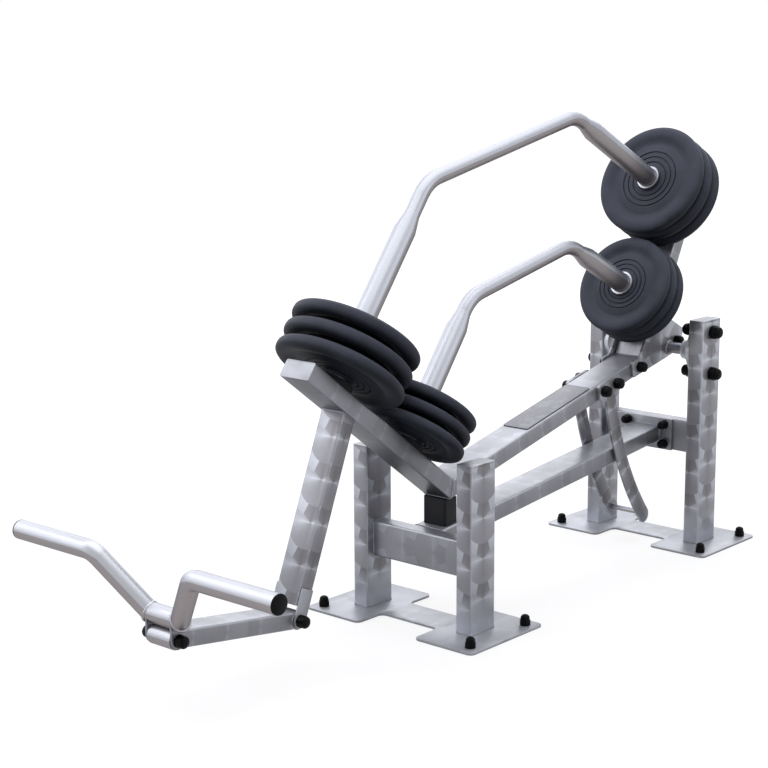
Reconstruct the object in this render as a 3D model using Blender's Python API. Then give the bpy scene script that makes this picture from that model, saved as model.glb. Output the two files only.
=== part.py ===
"""Outdoor biceps machine: a lever loaded with discs, hinged on posts, with a pull handle on a link.

Metres, +Z up. The origin lies under the middle of the front base plate, +Y runs back to the lever's
hinge and X runs across. Places in the machine's middle plane are 2D vectors (Y, Z).
"""
import math

import bmesh
import bpy
from mathutils import Matrix, Vector

# Clearances
GAP = 0.0003                    # left between pieces that touch
BOLT_CLEARANCE = 0.00075        # a bolt in its hole, on the radius
AXLE_CLEARANCE = 0.0006         # the axle in its holes and bearings, on the radius
PIVOT_SIDE_PLAY = 0.0007        # a pivot tube between two ears, at each end
DISC_CLEARANCE = 0.0023         # a disc's bush on the weight tube, on the radius
BUFFER_CLEARANCE = 0.0004       # a buffer ring on the weight tube, on the radius
CUT_OVERSHOOT = 0.010           # how far a cutter runs past the piece

# Left and right halves of the machine, with the sign of X
SIDES = (("left", -1), ("right", 1))

# Rectangular tube
TUBE_WALL = 0.003
TUBE_CORNER = 0.006
CORNER_STEPS = 2

# Base plates
PLATE_THICKNESS = 0.007
PLATE_HALF_WIDTH = 0.297
PAD_WIDTH = 0.197
PAD_HALF_DEPTH = 0.156
STRIP_HALF_DEPTH = 0.057
PLATE_CORNER = 0.017
ANCHOR_INSET_X = 0.034
ANCHOR_INSET_Y = 0.038
BASE_LENGTH = 1.130             # between the middles of the front and rear plates

# Posts and crossbars
POST_WIDTH = 0.052
POST_DEPTH = 0.104
POST_HALF_SPACING = 0.1845
FRONT_POST_TOP = 0.469
REAR_POST_TOP = 0.713
CROSSBAR_DEPTH = 0.050
CROSSBAR_HEIGHT = 0.100
FRONT_CROSSBAR_TOP = 0.252
REAR_CROSSBAR_TOP = 0.3875

# Lower beam, its flange and the stop block
BEAM_WIDTH = 0.100
BEAM_DEPTH = 0.050
FLANGE_THICKNESS = 0.008
FLANGE_HALF_WIDTH = 0.095
FLANGE_NUT_X = 0.0685
FLANGE_NUT_Z = 0.031
SLOPE_PASSES = 4                # the beam's slope and its drop at the front settle each other
BLOCK_WIDTH = 0.080
BLOCK_LENGTH = 0.054
BLOCK_AHEAD_OF_BEND = 0.014     # the block's front face ahead of the lever's lowest edge
BLOCK_CORNER = 0.008

# Lever: arm, inclined beam, riser
HINGE_HEIGHT = 0.610
ARM_ANGLE = math.radians(13.14)
ARM_TOP_OVER_HINGE = 0.0228
ARM_LENGTH = 1.081              # from the hinge to the bend, along the arm's top
ARM_TAIL = 0.066                # behind the hinge
INCLINE_ANGLE = math.radians(36.74)
INCLINE_LENGTH = 0.666          # from the bend to the front end, along the top
RISER_ANGLE = math.radians(62.8)
RISER_AHEAD = 0.100             # the riser's middle line ahead of the hinge
RISER_OVER_TUBE = 0.055         # the riser's top above the upper weight tube's middle line

# Side plates and their bolts, from the hinge: along the arm, and square to it
SIDE_PLATE_THICKNESS = 0.008
SIDE_PLATE_FRONT = 0.208
SIDE_PLATE_SHOULDER = 0.167     # where the plate's edge turns up to the riser
SIDE_PLATE_LIP = 0.006          # the plate's edge above the arm's top
SIDE_PLATE_FOOT = 0.005         # the plate's lower edge above the arm's underside
SIDE_PLATE_KEEL = 0.0245        # the plate's lowest corner ahead of the hinge
SIDE_PLATE_KEEL_HEIGHT = 0.001  # that corner above the arm's underside
SIDE_PLATE_RISE = 0.082         # the plate's top over the hinge, along the riser
SIDE_PLATE_REAR = 0.047         # the plate's top corner behind the hinge, square to the riser
SIDE_PLATE_TAIL = 0.057
SIDE_PLATE_CORNER = 0.004
FRONT_SIDE_BOLT = {"forward": 0.172, "height": 0.001}
REAR_SIDE_BOLT = {"forward": -0.041, "height": 0.008}

# Axle and bearings
AXLE_DIAMETER = 0.035
AXLE_WALL = 0.004
AXLE_END_PLAY = 0.006           # from the axle's end to the post
COLLAR_DIAMETER = 0.046
COLLAR_WIDTH = 0.004
BEARING_BOLT_MARGIN = 0.0155    # from a bearing bolt to the end of the flange
HOUSING_WIDTH = 0.093
HOUSING_FLANGE = 0.015
HOUSING_DEPTH = 0.046           # from the post to the boss's face
BOSS_DIAMETER = 0.058
BOSS_ROOT_DIAMETER = 0.081
BOSS_EDGE = 0.0035
BEARING_BOLT_SPACING = 0.130

# Hanger and pivots
HANGER_WIDTH = 0.080
HANGER_DEPTH = 0.050
HANGER_ANGLE = math.radians(68.39)
HANGER_FOOT = 0.491             # from the bend, along the inclined beam's underside
HANGER_DROP = 0.526             # from the beam to the pivot
HANGER_END_OVER_PIVOT = 0.035
EAR_THICKNESS = 0.006
EAR_WIDTH = 0.040
EAR_OVERLAP = 0.046             # the ear's length up the hanger
PIVOT_TUBE_DIAMETER = 0.0483

# Link and handle
LINK_LENGTH = 0.406
LINK_RISE = math.radians(8.06)
LINK_DEPTH = 0.046
LINK_SIDE_STEP = 0.0005         # from a pivot tube's end to the link's side
LINK_ROOT = 0.0145              # from a pivot's middle to the start of the rectangular tube
VENT_DIAMETER = 0.010
HANDLE_TUBE_DIAMETER = 0.0483
HANDLE_TUBE_WALL = 0.0026
SLEEVE_OVER_PIVOT = 0.051
SLEEVE_HALF_LENGTH = 0.0533
HANDLE_RISE = 0.1565            # from the sleeve to the grips
HANDLE_LEAN = math.radians(25.6)
HANDLE_BEND_X = 0.1725
HANDLE_BEND_RADIUS = 0.045
GRIP_END_X = 0.4505
HANDLE_EAR_WIDTH = 0.044
PLUG_THICKNESS = 0.005
PLUG_DEPTH = 0.018
PLUG_CLEARANCE = 0.0009
PLUG_EDGE = 0.0015

# Weight tubes
THICK_DIAMETER = 0.0603
THIN_DIAMETER = 0.0424
WEIGHT_TUBE_WALL = 0.003
WEIGHT_BEND_RADIUS = 0.120
MIDDLE_ANGLE = math.radians(12.5)
NECK_LENGTH = 0.047
REAR_NECK_AFTER_BEND = 0.053
UPPER_TUBE = {"from_beam_end": 0.139, "rise": 0.6184, "run": 0.679, "neck_before_bend": 0.105}
LOWER_TUBE = {"rise": 0.4632, "neck_before_bend": 0.052}
FRONT_RIM_SPACE = 0.0104        # between the upper and the lower discs' rims, at the front
REAR_RIM_SPACE = 0.00843        # the same at the riser

# Discs and buffers
STACK_COUNT = 3
BUFFER_THICKNESS = 0.018
BUFFER_DIAMETER = 0.098
BUSH_WALL = 0.009
BUSH_SLOPE = 0.002
UPPER_DISC = {"radius": 0.177, "pitch": 0.0512, "rim": 0.036, "valley": 0.024}
LOWER_DISC = {"radius": 0.155, "pitch": 0.0430, "rim": 0.031, "valley": 0.021}
RIM_ROUND = ((0.89, 1.0), (1.0, 0.5))   # the rim's points: share of the radius, of the half rim

# Stop hoop, from the hinge along the arm
HOOP_THICKNESS = 0.008
HOOP_WIDTH = 0.050
HOOP_PACKING = 0.0037
HOOP_REAR_BOLT = 0.3063
HOOP_FRONT_BOLT = 0.3724
HOOP_HEAD_MARGIN = 0.0225       # from a bolt to the head's end
HOOP_HEAD_CORNER = 0.008
HOOP_REACH = 0.341              # where the bar's middle line leaves the arm's
HOOP_RADIUS = 0.982
HOOP_ARC_DROP = 0.0435
HOOP_SWEEP = math.radians(28.6)
HOOP_PIN_DIAMETER = 0.016
HOOP_PIN_FROM_END = 0.010

# Information plate on the arm, from the hinge
INFO_WIDTH = 0.090
INFO_LENGTH = 0.320
INFO_THICKNESS = 0.002
INFO_REAR = 0.415
INFO_CORNER = 0.008

# Bolts with plastic caps: a six-sided body, then a dome that narrows to the tip
BOLT_DIAMETER = 0.016
CAP_SHOULDER = 0.0015
CAP_TIP = 0.003
CAP_SINK = 0.002                # an anchor's or a nut's cap runs this far into its plate
CAP = {"radius": 0.0182, "body": 0.014, "dome_radius": 0.0155, "tip_radius": 0.0112, "length": 0.0255}
NUT_CAP = {"radius": 0.0160, "body": 0.016, "dome_radius": 0.0120, "tip_radius": 0.0086,
           "length": 0.030}
BEARING_CAP = {"radius": 0.0222, "body": 0.018, "dome_radius": 0.0180, "tip_radius": 0.0130,
               "length": 0.035}

# Smoothness of round shapes
CAP_SIDES = 6
SHAFT_SIDES = 12
HOLE_SIDES = 8
AXLE_SIDES = 16
TUBE_SIDES = 14
TUBE_BORE_SIDES = 8
BEND_STEPS = 4
DISC_SIDES = 22
BUFFER_SIDES = 12
EAR_STEPS = 7
HOOP_STEPS = 8
WAIST_STEPS = 2
LOBE_STEPS = 4
SADDLE_STEPS = 4

# Colour (red, green, blue), metallic value, roughness
FINISHES = {
    "ground_steel": ((0.56, 0.58, 0.63), 0.9, 0.35),
    "polished_tube": ((0.80, 0.81, 0.84), 1.0, 0.18),
    "bearing_casting": ((0.62, 0.63, 0.66), 0.8, 0.40),
    "disc_rubber": ((0.045, 0.047, 0.058), 0.0, 0.55),
    "buffer_rubber": ((0.02, 0.02, 0.024), 0.0, 0.70),
    "cap_plastic": ((0.012, 0.012, 0.015), 0.0, 0.45),
    "info_plate": ((0.42, 0.42, 0.44), 0.6, 0.45),
}

# Euler angles that stand a flat outline up, or lay a local Z axis down
UPRIGHT = (0.0, 0.0, 0.0)
OUTLINE_YZ = (math.pi / 2, 0.0, math.pi / 2)   # drawn in (Y, Z), thickness along +X
OUTLINE_XZ = (math.pi / 2, 0.0, 0.0)           # drawn in (X, Z), thickness along -Y
ALONG_X = (0.0, math.pi / 2, 0.0)              # a local Z axis laid along +X


# Geometry in the middle plane

def heading(angle):
    """Unit vector (Y, Z) that rises at the angle from +Y."""
    return Vector((math.cos(angle), math.sin(angle)))


def square_to(direction):
    """The direction turned a quarter turn towards +Z."""
    return Vector((-direction.y, direction.x))


def meet(point, direction, plane_point, plane_normal):
    """Where the line through point meets the plane."""
    reach = plane_normal.dot(plane_point - point) / plane_normal.dot(direction)
    return point + direction * reach


def clear_bore(radius, sides):
    """Corner radius of a faceted bore whose flats still clear a shaft of the given radius."""
    return radius / math.cos(math.pi / sides)


def in_space(x, place):
    """A middle-plane place as a 3D vector at the given X."""
    return Vector((x, place.x, place.y))


def filleted(corners, radius, steps):
    """A closed outline with an arc in place of each corner; radius may be a list."""
    radii = radius if isinstance(radius, (list, tuple)) else [radius] * len(corners)
    outline = []
    for index, corner in enumerate(corners):
        before = (corners[index - 1] - corner).normalized()
        after = (corners[(index + 1) % len(corners)] - corner).normalized()
        outline.extend(corner_arc(corner, before, after, radii[index], steps))
    return outline


def corner_arc(corner, before, after, radius, steps):
    """Points of the arc that rounds the corner between two unit directions leaving it."""
    if radius <= 0.0:
        return [corner.copy()]
    half = before.angle(after) / 2
    middle = corner + (before + after).normalized() * (radius / math.sin(half))
    start = (corner + before * (radius / math.tan(half))) - middle
    finish = (corner + after * (radius / math.tan(half))) - middle
    turn = start.angle(finish)
    points = []
    for step in range(steps + 1):
        share = step / steps
        blend = start * math.sin((1 - share) * turn) + finish * math.sin(share * turn)
        points.append(middle + blend / math.sin(turn))
    return points


# Meshes

def finished_mesh(name, bm):
    """Turn a bmesh into a smooth-shaded mesh with outward faces."""
    bmesh.ops.recalc_face_normals(bm, faces=bm.faces[:])
    mesh = bpy.data.meshes.new(name)
    bm.to_mesh(mesh)
    bm.free()
    mesh.shade_smooth()
    mesh.set_sharp_from_angle(angle=math.radians(35))
    return mesh


def extruded(name, outline, height, base=0.0):
    """A flat outline in local XY, extruded along local Z."""
    bm = bmesh.new()
    corners = [bm.verts.new((point.x, point.y, base)) for point in outline]
    face = bm.faces.new(corners)
    grown = bmesh.ops.extrude_face_region(bm, geom=[face])
    raised = [item for item in grown["geom"] if isinstance(item, bmesh.types.BMVert)]
    bmesh.ops.translate(bm, vec=(0.0, 0.0, height), verts=raised)
    return finished_mesh(name, bm)


def section(name, width, depth, corner, ends):
    """A rounded rectangle extruded along Z between two end planes.

    Each end is (place, slope): the plane crosses the middle line at place and rises by slope along Y.
    """
    rectangle = [Vector((sx * width / 2, sy * depth / 2))
                 for sx, sy in ((-1, -1), (1, -1), (1, 1), (-1, 1))]
    outline = filleted(rectangle, corner, CORNER_STEPS)
    bm = bmesh.new()
    face = bm.faces.new([bm.verts.new((point.x, point.y, 0.0)) for point in outline])
    grown = bmesh.ops.extrude_face_region(bm, geom=[face])
    far = {item for item in grown["geom"] if isinstance(item, bmesh.types.BMVert)}
    for vert in bm.verts:
        place, slope = ends[1] if vert in far else ends[0]
        vert.co.z = place + slope * vert.co.y
    return finished_mesh(name, bm)


def turned(name, profile, sides, ring=False):
    """A profile of (radius, height) points spun about Z; a ring's profile is a closed loop."""
    bm = bmesh.new()
    verts = [bm.verts.new((radius, 0.0, height)) for radius, height in profile]
    pairs = list(zip(verts, verts[1:]))
    if ring:
        pairs.append((verts[-1], verts[0]))
    edges = [bm.edges.new(pair) for pair in pairs]
    bmesh.ops.spin(bm, geom=verts + edges, cent=(0, 0, 0), axis=(0, 0, 1),
                   angle=2 * math.pi, steps=sides, use_merge=True)
    bmesh.ops.remove_doubles(bm, verts=bm.verts[:], dist=0.00002)
    return finished_mesh(name, bm)


def swept(name, stations, sides):
    """A round bar through (place, radius) stations, mitred at every turn."""
    bm = bmesh.new()
    places = [place for place, _ in stations]
    steps = [(b - a).normalized() for a, b in zip(places, places[1:])]
    guide = Vector((1, 0, 0)) if abs(steps[0].x) < 0.9 else Vector((0, 0, 1))
    side = steps[0].cross(guide).normalized()
    rings = []
    for index, (place, radius) in enumerate(stations):
        arriving = steps[max(index - 1, 0)]
        leaving = steps[min(index, len(steps) - 1)]
        mitre = (arriving + leaving).normalized()
        up = arriving.cross(side)
        ring = []
        for corner in range(sides):
            angle = 2 * math.pi * corner / sides
            spoke = (side * math.cos(angle) + up * math.sin(angle)) * radius
            slide = -spoke.dot(mitre) / arriving.dot(mitre)
            ring.append(bm.verts.new(place + spoke + arriving * slide))
        rings.append(ring)
        side = arriving.rotation_difference(leaving) @ side
    for ring, following in zip(rings, rings[1:]):
        for corner in range(sides):
            other = (corner + 1) % sides
            bm.faces.new((ring[corner], ring[other], following[other], following[corner]))
    bm.faces.new(rings[0])
    bm.faces.new(rings[-1])
    return finished_mesh(name, bm)


def bar_mesh(name, radius, length, sides):
    """A plain round bar centred on its middle, along local Z."""
    bm = bmesh.new()
    bmesh.ops.create_cone(bm, cap_ends=True, segments=sides, radius1=radius, radius2=radius, depth=length)
    return finished_mesh(name, bm)


# Objects

def material_for(name, finish):
    """The node's own Principled material."""
    colour, metallic, roughness = FINISHES[finish]
    material = bpy.data.materials.new(name + "_finish")
    material.use_nodes = True
    shader = material.node_tree.nodes["Principled BSDF"]
    shader.inputs["Base Color"].default_value = (*colour, 1.0)
    shader.inputs["Metallic"].default_value = metallic
    shader.inputs["Roughness"].default_value = roughness
    material.diffuse_color = (*colour, 1.0)
    return material


def placed(name, mesh, body, location, rotation=UPRIGHT):
    """Add an object at a world place, carried by the body's empty."""
    item = bpy.data.objects.new(name, mesh)
    bpy.context.scene.collection.objects.link(item)
    item.location = location
    item.rotation_euler = rotation
    item.parent = body
    item.matrix_parent_inverse = Matrix.Translation(-Vector(body.location))
    return item


def piece(name, mesh, finish, body, location, rotation=UPRIGHT):
    """A sub-part with its own finish."""
    item = placed(name, mesh, body, location, rotation)
    item.data.materials.append(material_for(name, finish))
    return item


def combine(item, tool, operation="DIFFERENCE"):
    """Cut the tool from the item, or unite it with the item, by an exact Boolean."""
    tool.hide_render = True
    tool.display_type = "WIRE"
    modifier = item.modifiers.new(tool.name, "BOOLEAN")
    modifier.operation = operation
    modifier.solver = "EXACT"
    modifier.object = tool


def drill(item, label, radius, depth, location, sides=HOLE_SIDES, rotation=ALONG_X):
    """A round hole through the item's depth, along X unless it is turned."""
    name = item.name + "_" + label
    mesh = bar_mesh(name, clear_bore(radius, sides), depth + 2 * CUT_OVERSHOOT, sides)
    tool = placed(name, mesh, item.parent, location, rotation)
    combine(item, tool)


def joint_empty(name, place):
    """The empty that carries a body, on its joint's axis."""
    empty = bpy.data.objects.new(name, None)
    bpy.context.scene.collection.objects.link(empty)
    empty.location = place
    empty.empty_display_size = 0.05
    return empty


# Parts used more than once

def hollow_member(name, finish, body, size, place, rotation, ends, closed=(False, False)):
    """A rectangular tube of (width, depth) along local Z; a closed end has a cap one wall thick."""
    width, depth = size
    item = piece(name, section(name, width, depth, TUBE_CORNER, ends), finish, body, place, rotation)
    inner_ends = []
    for (reach, slope), is_closed, outward in zip(ends, closed, (-1, 1)):
        shift = -TUBE_WALL if is_closed else CUT_OVERSHOOT
        inner_ends.append((reach + outward * shift, slope))
    bore = section(name + "_bore", width - 2 * TUBE_WALL, depth - 2 * TUBE_WALL,
                   TUBE_CORNER - TUBE_WALL, inner_ends)
    combine(item, placed(name + "_bore", bore, body, place, rotation))
    return item


def member(name, body, size, start, end, start_normal=None, end_normal=None, closed=(False, False)):
    """A rectangular tube in the middle plane, with its ends cut square or along the given planes."""
    along = (end - start).normalized()
    down = Vector((along.y, -along.x))
    slopes = []
    for normal in (start_normal, end_normal):
        slopes.append(-normal.dot(down) / normal.dot(along) if normal else 0.0)
    ends = ((0.0, slopes[0]), ((end - start).length, slopes[1]))
    rotation = (math.atan2(along.y, along.x) - math.pi / 2, 0.0, 0.0)
    return hollow_member(name, "ground_steel", body, size, in_space(0.0, start), rotation, ends, closed)


def cap_profile(cap, seat, outward):
    """Profile of a bolt cap from its seat to its tip, outward being 1 or -1 along the bolt."""
    return [
        (cap["radius"], seat),
        (cap["radius"], seat + outward * cap["body"]),
        (cap["dome_radius"], seat + outward * (cap["body"] + CAP_SHOULDER)),
        (cap["tip_radius"], seat + outward * (cap["length"] - CAP_TIP)),
        (0.0, seat + outward * cap["length"]),
    ]


def through_bolt(name, body, cap, low, high, place):
    """A bolt along X with a cap outside each seat; low and high are the seats' X."""
    shank = BOLT_DIAMETER / 2
    profile = cap_profile(cap, low, -1)[::-1] + [(shank, low), (shank, high)] + cap_profile(cap, high, 1)
    mesh = turned(name, profile, CAP_SIDES)
    return piece(name, mesh, "cap_plastic", body, in_space(0.0, place), ALONG_X)


def add_caps(item, cap, seats, rotation):
    """Unite a row of capped nuts with the plate that carries them; seats are their world places."""
    profile = [(0.0, -CAP_SINK), (cap["radius"], -CAP_SINK)] + cap_profile(cap, 0.0, 1)[1:]
    for number, seat in enumerate(seats, start=1):
        name = f"{item.name}_cap_{number}"
        cap_piece = placed(name, turned(name, profile, CAP_SIDES), item.parent, seat, rotation)
        combine(item, cap_piece, "UNION")


def upright_plate(name, finish, body, outline, inner, outer, side):
    """A plate drawn in the middle plane, from X inner to outer on the given side."""
    low = inner if side > 0 else -outer
    mesh = extruded(name, outline, outer - inner)
    return piece(name, mesh, finish, body, (low, 0.0, 0.0), OUTLINE_YZ)


# Places worked out from the driving sizes

def layout():
    """All shared places and directions of the machine, as a dictionary."""
    hinge = Vector((BASE_LENGTH, HINGE_HEIGHT))
    back = heading(ARM_ANGLE)
    up = square_to(back)
    bend_top = hinge - back * ARM_LENGTH + up * ARM_TOP_OVER_HINGE
    rise = heading(math.pi - INCLINE_ANGLE)
    over = heading(math.pi / 2 - INCLINE_ANGLE)
    mitre = (back - rise).normalized()
    inward = (back + rise).normalized()
    bend_middle = bend_top - inward * (BEAM_DEPTH / 2 / inward.dot(up))
    bend_bottom = bend_top - inward * (BEAM_DEPTH / inward.dot(up))
    riser_up = heading(RISER_ANGLE)
    riser_back = heading(RISER_ANGLE - math.pi / 2)
    riser_front = hinge - riser_back * (RISER_AHEAD + BEAM_DEPTH / 2)
    hanger_up = heading(HANGER_ANGLE)
    hanger_top = bend_bottom + rise * HANGER_FOOT
    pivot = hanger_top - hanger_up * HANGER_DROP
    handle_pivot = pivot + heading(math.pi - LINK_RISE) * LINK_LENGTH
    sleeve = handle_pivot + Vector((0.0, SLEEVE_OVER_PIVOT))
    grip = sleeve + heading(math.pi / 2 + HANDLE_LEAN) * HANDLE_RISE
    return {
        "hinge": hinge, "back": back, "up": up, "bend_top": bend_top, "rise": rise, "over": over,
        "mitre": mitre, "bend_middle": bend_middle, "bend_bottom": bend_bottom, "riser_up": riser_up,
        "riser_back": riser_back, "riser_front": riser_front, "hanger_up": hanger_up,
        "hanger_top": hanger_top, "pivot": pivot, "handle_pivot": handle_pivot, "sleeve": sleeve,
        "grip": grip,
    }


def on_arm(spots, forward, height):
    """A place given from the hinge, forward along the arm and square to it."""
    return spots["hinge"] - spots["back"] * forward + spots["up"] * height


def upper_tube_path(spots):
    """The upper weight tube's corners: foot, front bend, rear bend and its end on the riser."""
    foot = spots["bend_top"] + spots["rise"] * (INCLINE_LENGTH - UPPER_TUBE["from_beam_end"])
    front = foot + spots["over"] * UPPER_TUBE["rise"]
    rear = front + heading(MIDDLE_ANGLE) * UPPER_TUBE["run"]
    end = meet(rear, spots["riser_back"], spots["riser_front"], spots["riser_back"])
    return foot, front, rear, end


def lower_tube_path(spots):
    """The lower weight tube's corners, set so that its discs' rims clear the upper ones."""
    upper_foot, _, _, upper_end = upper_tube_path(spots)
    radii = UPPER_DISC["radius"] + LOWER_DISC["radius"]
    foot = upper_foot - spots["rise"] * (radii + FRONT_RIM_SPACE)
    end = upper_end - spots["riser_up"] * (radii + REAR_RIM_SPACE)
    front = foot + spots["over"] * LOWER_TUBE["rise"]
    rear = meet(front, heading(MIDDLE_ANGLE), end, spots["riser_up"])
    return foot, front, rear, end


# Base

def base_plate(name, body, middle_y):
    """An H-shaped plate with a capped anchor in each outer corner."""
    inner = PLATE_HALF_WIDTH - PAD_WIDTH
    quarter = [(inner, STRIP_HALF_DEPTH), (inner, PAD_HALF_DEPTH), (PLATE_HALF_WIDTH, PAD_HALF_DEPTH)]
    corners = [Vector(point) for point in quarter]
    corners += [Vector((x, -y)) for x, y in reversed(quarter)]
    corners += [Vector((-x, -y)) for x, y in quarter]
    corners += [Vector((-x, y)) for x, y in reversed(quarter)]
    outline = filleted(corners, PLATE_CORNER, CORNER_STEPS)
    mesh = extruded(name, outline, PLATE_THICKNESS)
    plate = piece(name, mesh, "ground_steel", body, (0.0, middle_y, 0.0))
    reach_x = PLATE_HALF_WIDTH - ANCHOR_INSET_X
    reach_y = PAD_HALF_DEPTH - ANCHOR_INSET_Y
    seats = [(sx * reach_x, middle_y + sy * reach_y, PLATE_THICKNESS)
             for sx in (-1, 1) for sy in (-1, 1)]
    add_caps(plate, NUT_CAP, seats, UPRIGHT)


def post(name, body, x, y, top):
    """A post with a closed top, standing on its base plate."""
    foot = PLATE_THICKNESS + GAP
    ends = ((0.0, 0.0), (top - foot, 0.0))
    return hollow_member(name, "ground_steel", body, (POST_WIDTH, POST_DEPTH), (x, y, foot),
                         UPRIGHT, ends, (False, True))


def crossbar(name, body, y, top):
    """A crossbar on edge between two posts."""
    half = POST_HALF_SPACING - POST_WIDTH / 2 - GAP
    ends = ((-half, 0.0), (half, 0.0))
    place = (0.0, y, top - CROSSBAR_HEIGHT / 2)
    return hollow_member(name, "ground_steel", body, (CROSSBAR_HEIGHT, CROSSBAR_DEPTH), place,
                         ALONG_X, ends)


def lower_beam(body):
    """The beam between the crossbars and its flange plate.

    Returns a point and the direction of the line along the beam's top.
    """
    front_y = CROSSBAR_DEPTH / 2 + GAP
    flange_rear = BASE_LENGTH - CROSSBAR_DEPTH / 2 - GAP
    rear_y = flange_rear - FLANGE_THICKNESS - GAP
    rear_middle = REAR_CROSSBAR_TOP - CROSSBAR_HEIGHT / 2
    drop = BEAM_DEPTH / 2
    for _ in range(SLOPE_PASSES):
        front_middle = FRONT_CROSSBAR_TOP - drop
        angle = math.atan2(rear_middle - front_middle, rear_y - front_y)
        drop = BEAM_DEPTH / 2 / math.cos(angle)
    across = Vector((1.0, 0.0))
    start = Vector((front_y, front_middle))
    end = Vector((rear_y, rear_middle))
    member("lower_beam", body, (BEAM_WIDTH, BEAM_DEPTH), start, end, across, across)

    flange = [Vector((sx * FLANGE_HALF_WIDTH, rear_middle + sz * CROSSBAR_HEIGHT / 2))
              for sx, sz in ((-1, -1), (1, -1), (1, 1), (-1, 1))]
    plate = piece("beam_flange", extruded("beam_flange", flange, FLANGE_THICKNESS), "ground_steel",
                  body, (0.0, flange_rear, 0.0), OUTLINE_XZ)
    seats = [(sx * FLANGE_NUT_X, flange_rear - FLANGE_THICKNESS, rear_middle + sz * FLANGE_NUT_Z)
             for sx in (-1, 1) for sz in (-1, 1)]
    add_caps(plate, NUT_CAP, seats, OUTLINE_XZ)
    return start + square_to(heading(angle)) * (BEAM_DEPTH / 2), heading(angle)


def stop_block(body, spots, seat, slope):
    """The rubber block under the lever's bend, cut to the slope of the lower beam."""
    lift = square_to(slope)
    front = spots["bend_bottom"].x - BLOCK_AHEAD_OF_BEND
    middle = front + BLOCK_LENGTH / 2
    top = spots["bend_bottom"].y - GAP
    vertical = Vector((0.0, 1.0))
    foot = meet(Vector((middle, 0.0)), vertical, seat + lift * GAP, lift)
    ends = ((0.0, slope.y / slope.x), (top - foot.y, 0.0))
    mesh = section("stop_block", BLOCK_WIDTH, BLOCK_LENGTH, BLOCK_CORNER, ends)
    piece("stop_block", mesh, "buffer_rubber", body, in_space(0.0, foot))


def bearing(label, side, body, spots, rear_post):
    """One flange bearing on a rear post, with its two bolts through the post."""
    hinge = spots["hinge"]
    post_face = POST_HALF_SPACING - POST_WIDTH / 2
    seat = post_face - GAP
    outline = housing_outline(hinge, BEARING_BOLT_MARGIN)
    name = f"{label}_bearing_housing"
    housing = upright_plate(name, "bearing_casting", body, outline, seat - HOUSING_FLANGE, seat, side)
    boss_face = post_face - HOUSING_DEPTH
    root = seat - HOUSING_FLANGE / 2
    profile = [(0.0, boss_face), (BOSS_DIAMETER / 2 - BOSS_EDGE, boss_face),
               (BOSS_DIAMETER / 2, boss_face + BOSS_EDGE),
               (BOSS_ROOT_DIAMETER / 2, seat - HOUSING_FLANGE - BOSS_EDGE / 3),
               (BOSS_ROOT_DIAMETER / 2, root), (0.0, root)]
    boss_name = name + "_boss"
    boss = placed(boss_name, turned(boss_name, profile, AXLE_SIDES), body, in_space(0.0, hinge),
                  (0.0, side * math.pi / 2, 0.0))
    combine(housing, boss, "UNION")
    middle_x = side * (post_face + boss_face) / 2
    drill(housing, "bore", AXLE_DIAMETER / 2 + AXLE_CLEARANCE, HOUSING_DEPTH,
          in_space(middle_x, hinge), AXLE_SIDES)
    for level, offset in (("upper", 1), ("lower", -1)):
        place = hinge + Vector((0.0, offset * BEARING_BOLT_SPACING / 2))
        radius = BOLT_DIAMETER / 2 + BOLT_CLEARANCE
        drill(housing, f"{level}_hole", radius, HOUSING_DEPTH, in_space(middle_x, place))
        drill(rear_post, f"{level}_hole", radius, POST_WIDTH, in_space(side * POST_HALF_SPACING, place))
        inner = seat - HOUSING_FLANGE - GAP
        outer = POST_HALF_SPACING + POST_WIDTH / 2 + GAP
        low, high = (inner, outer) if side > 0 else (-outer, -inner)
        through_bolt(f"{label}_{level}_bearing_bolt", body, BEARING_CAP, low, high, place)


def housing_outline(hinge, lobe):
    """Outline of a two-bolt flange: a middle circle and two end lobes joined by tangents."""
    wide = HOUSING_WIDTH / 2
    reach = BEARING_BOLT_SPACING / 2
    lean = math.asin((wide - lobe) / reach)
    quarter = [heading(lean * step / WAIST_STEPS) * wide for step in range(WAIST_STEPS + 1)]
    for step in range(LOBE_STEPS + 1):
        angle = lean + (math.pi / 2 - lean) * step / LOBE_STEPS
        quarter.append(Vector((0.0, reach)) + heading(angle) * lobe)
    upper = quarter + [Vector((-point.x, point.y)) for point in reversed(quarter[:-1])]
    lower = [Vector((point.x, -point.y)) for point in reversed(upper[1:-1])]
    return [hinge + point for point in upper + lower]


def build_base(body, spots):
    """Plates, posts, crossbars, lower beam, stop block and bearings."""
    base_plate("front_base_plate", body, 0.0)
    base_plate("rear_base_plate", body, BASE_LENGTH)
    for label, side in SIDES:
        post(f"front_{label}_post", body, side * POST_HALF_SPACING, 0.0, FRONT_POST_TOP)
        rear_post = post(f"rear_{label}_post", body, side * POST_HALF_SPACING, BASE_LENGTH, REAR_POST_TOP)
        bearing(label, side, body, spots, rear_post)
    crossbar("front_crossbar", body, 0.0, FRONT_CROSSBAR_TOP)
    crossbar("rear_crossbar", body, BASE_LENGTH, REAR_CROSSBAR_TOP)
    seat, slope = lower_beam(body)
    stop_block(body, spots, seat, slope)


# Lever

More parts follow.
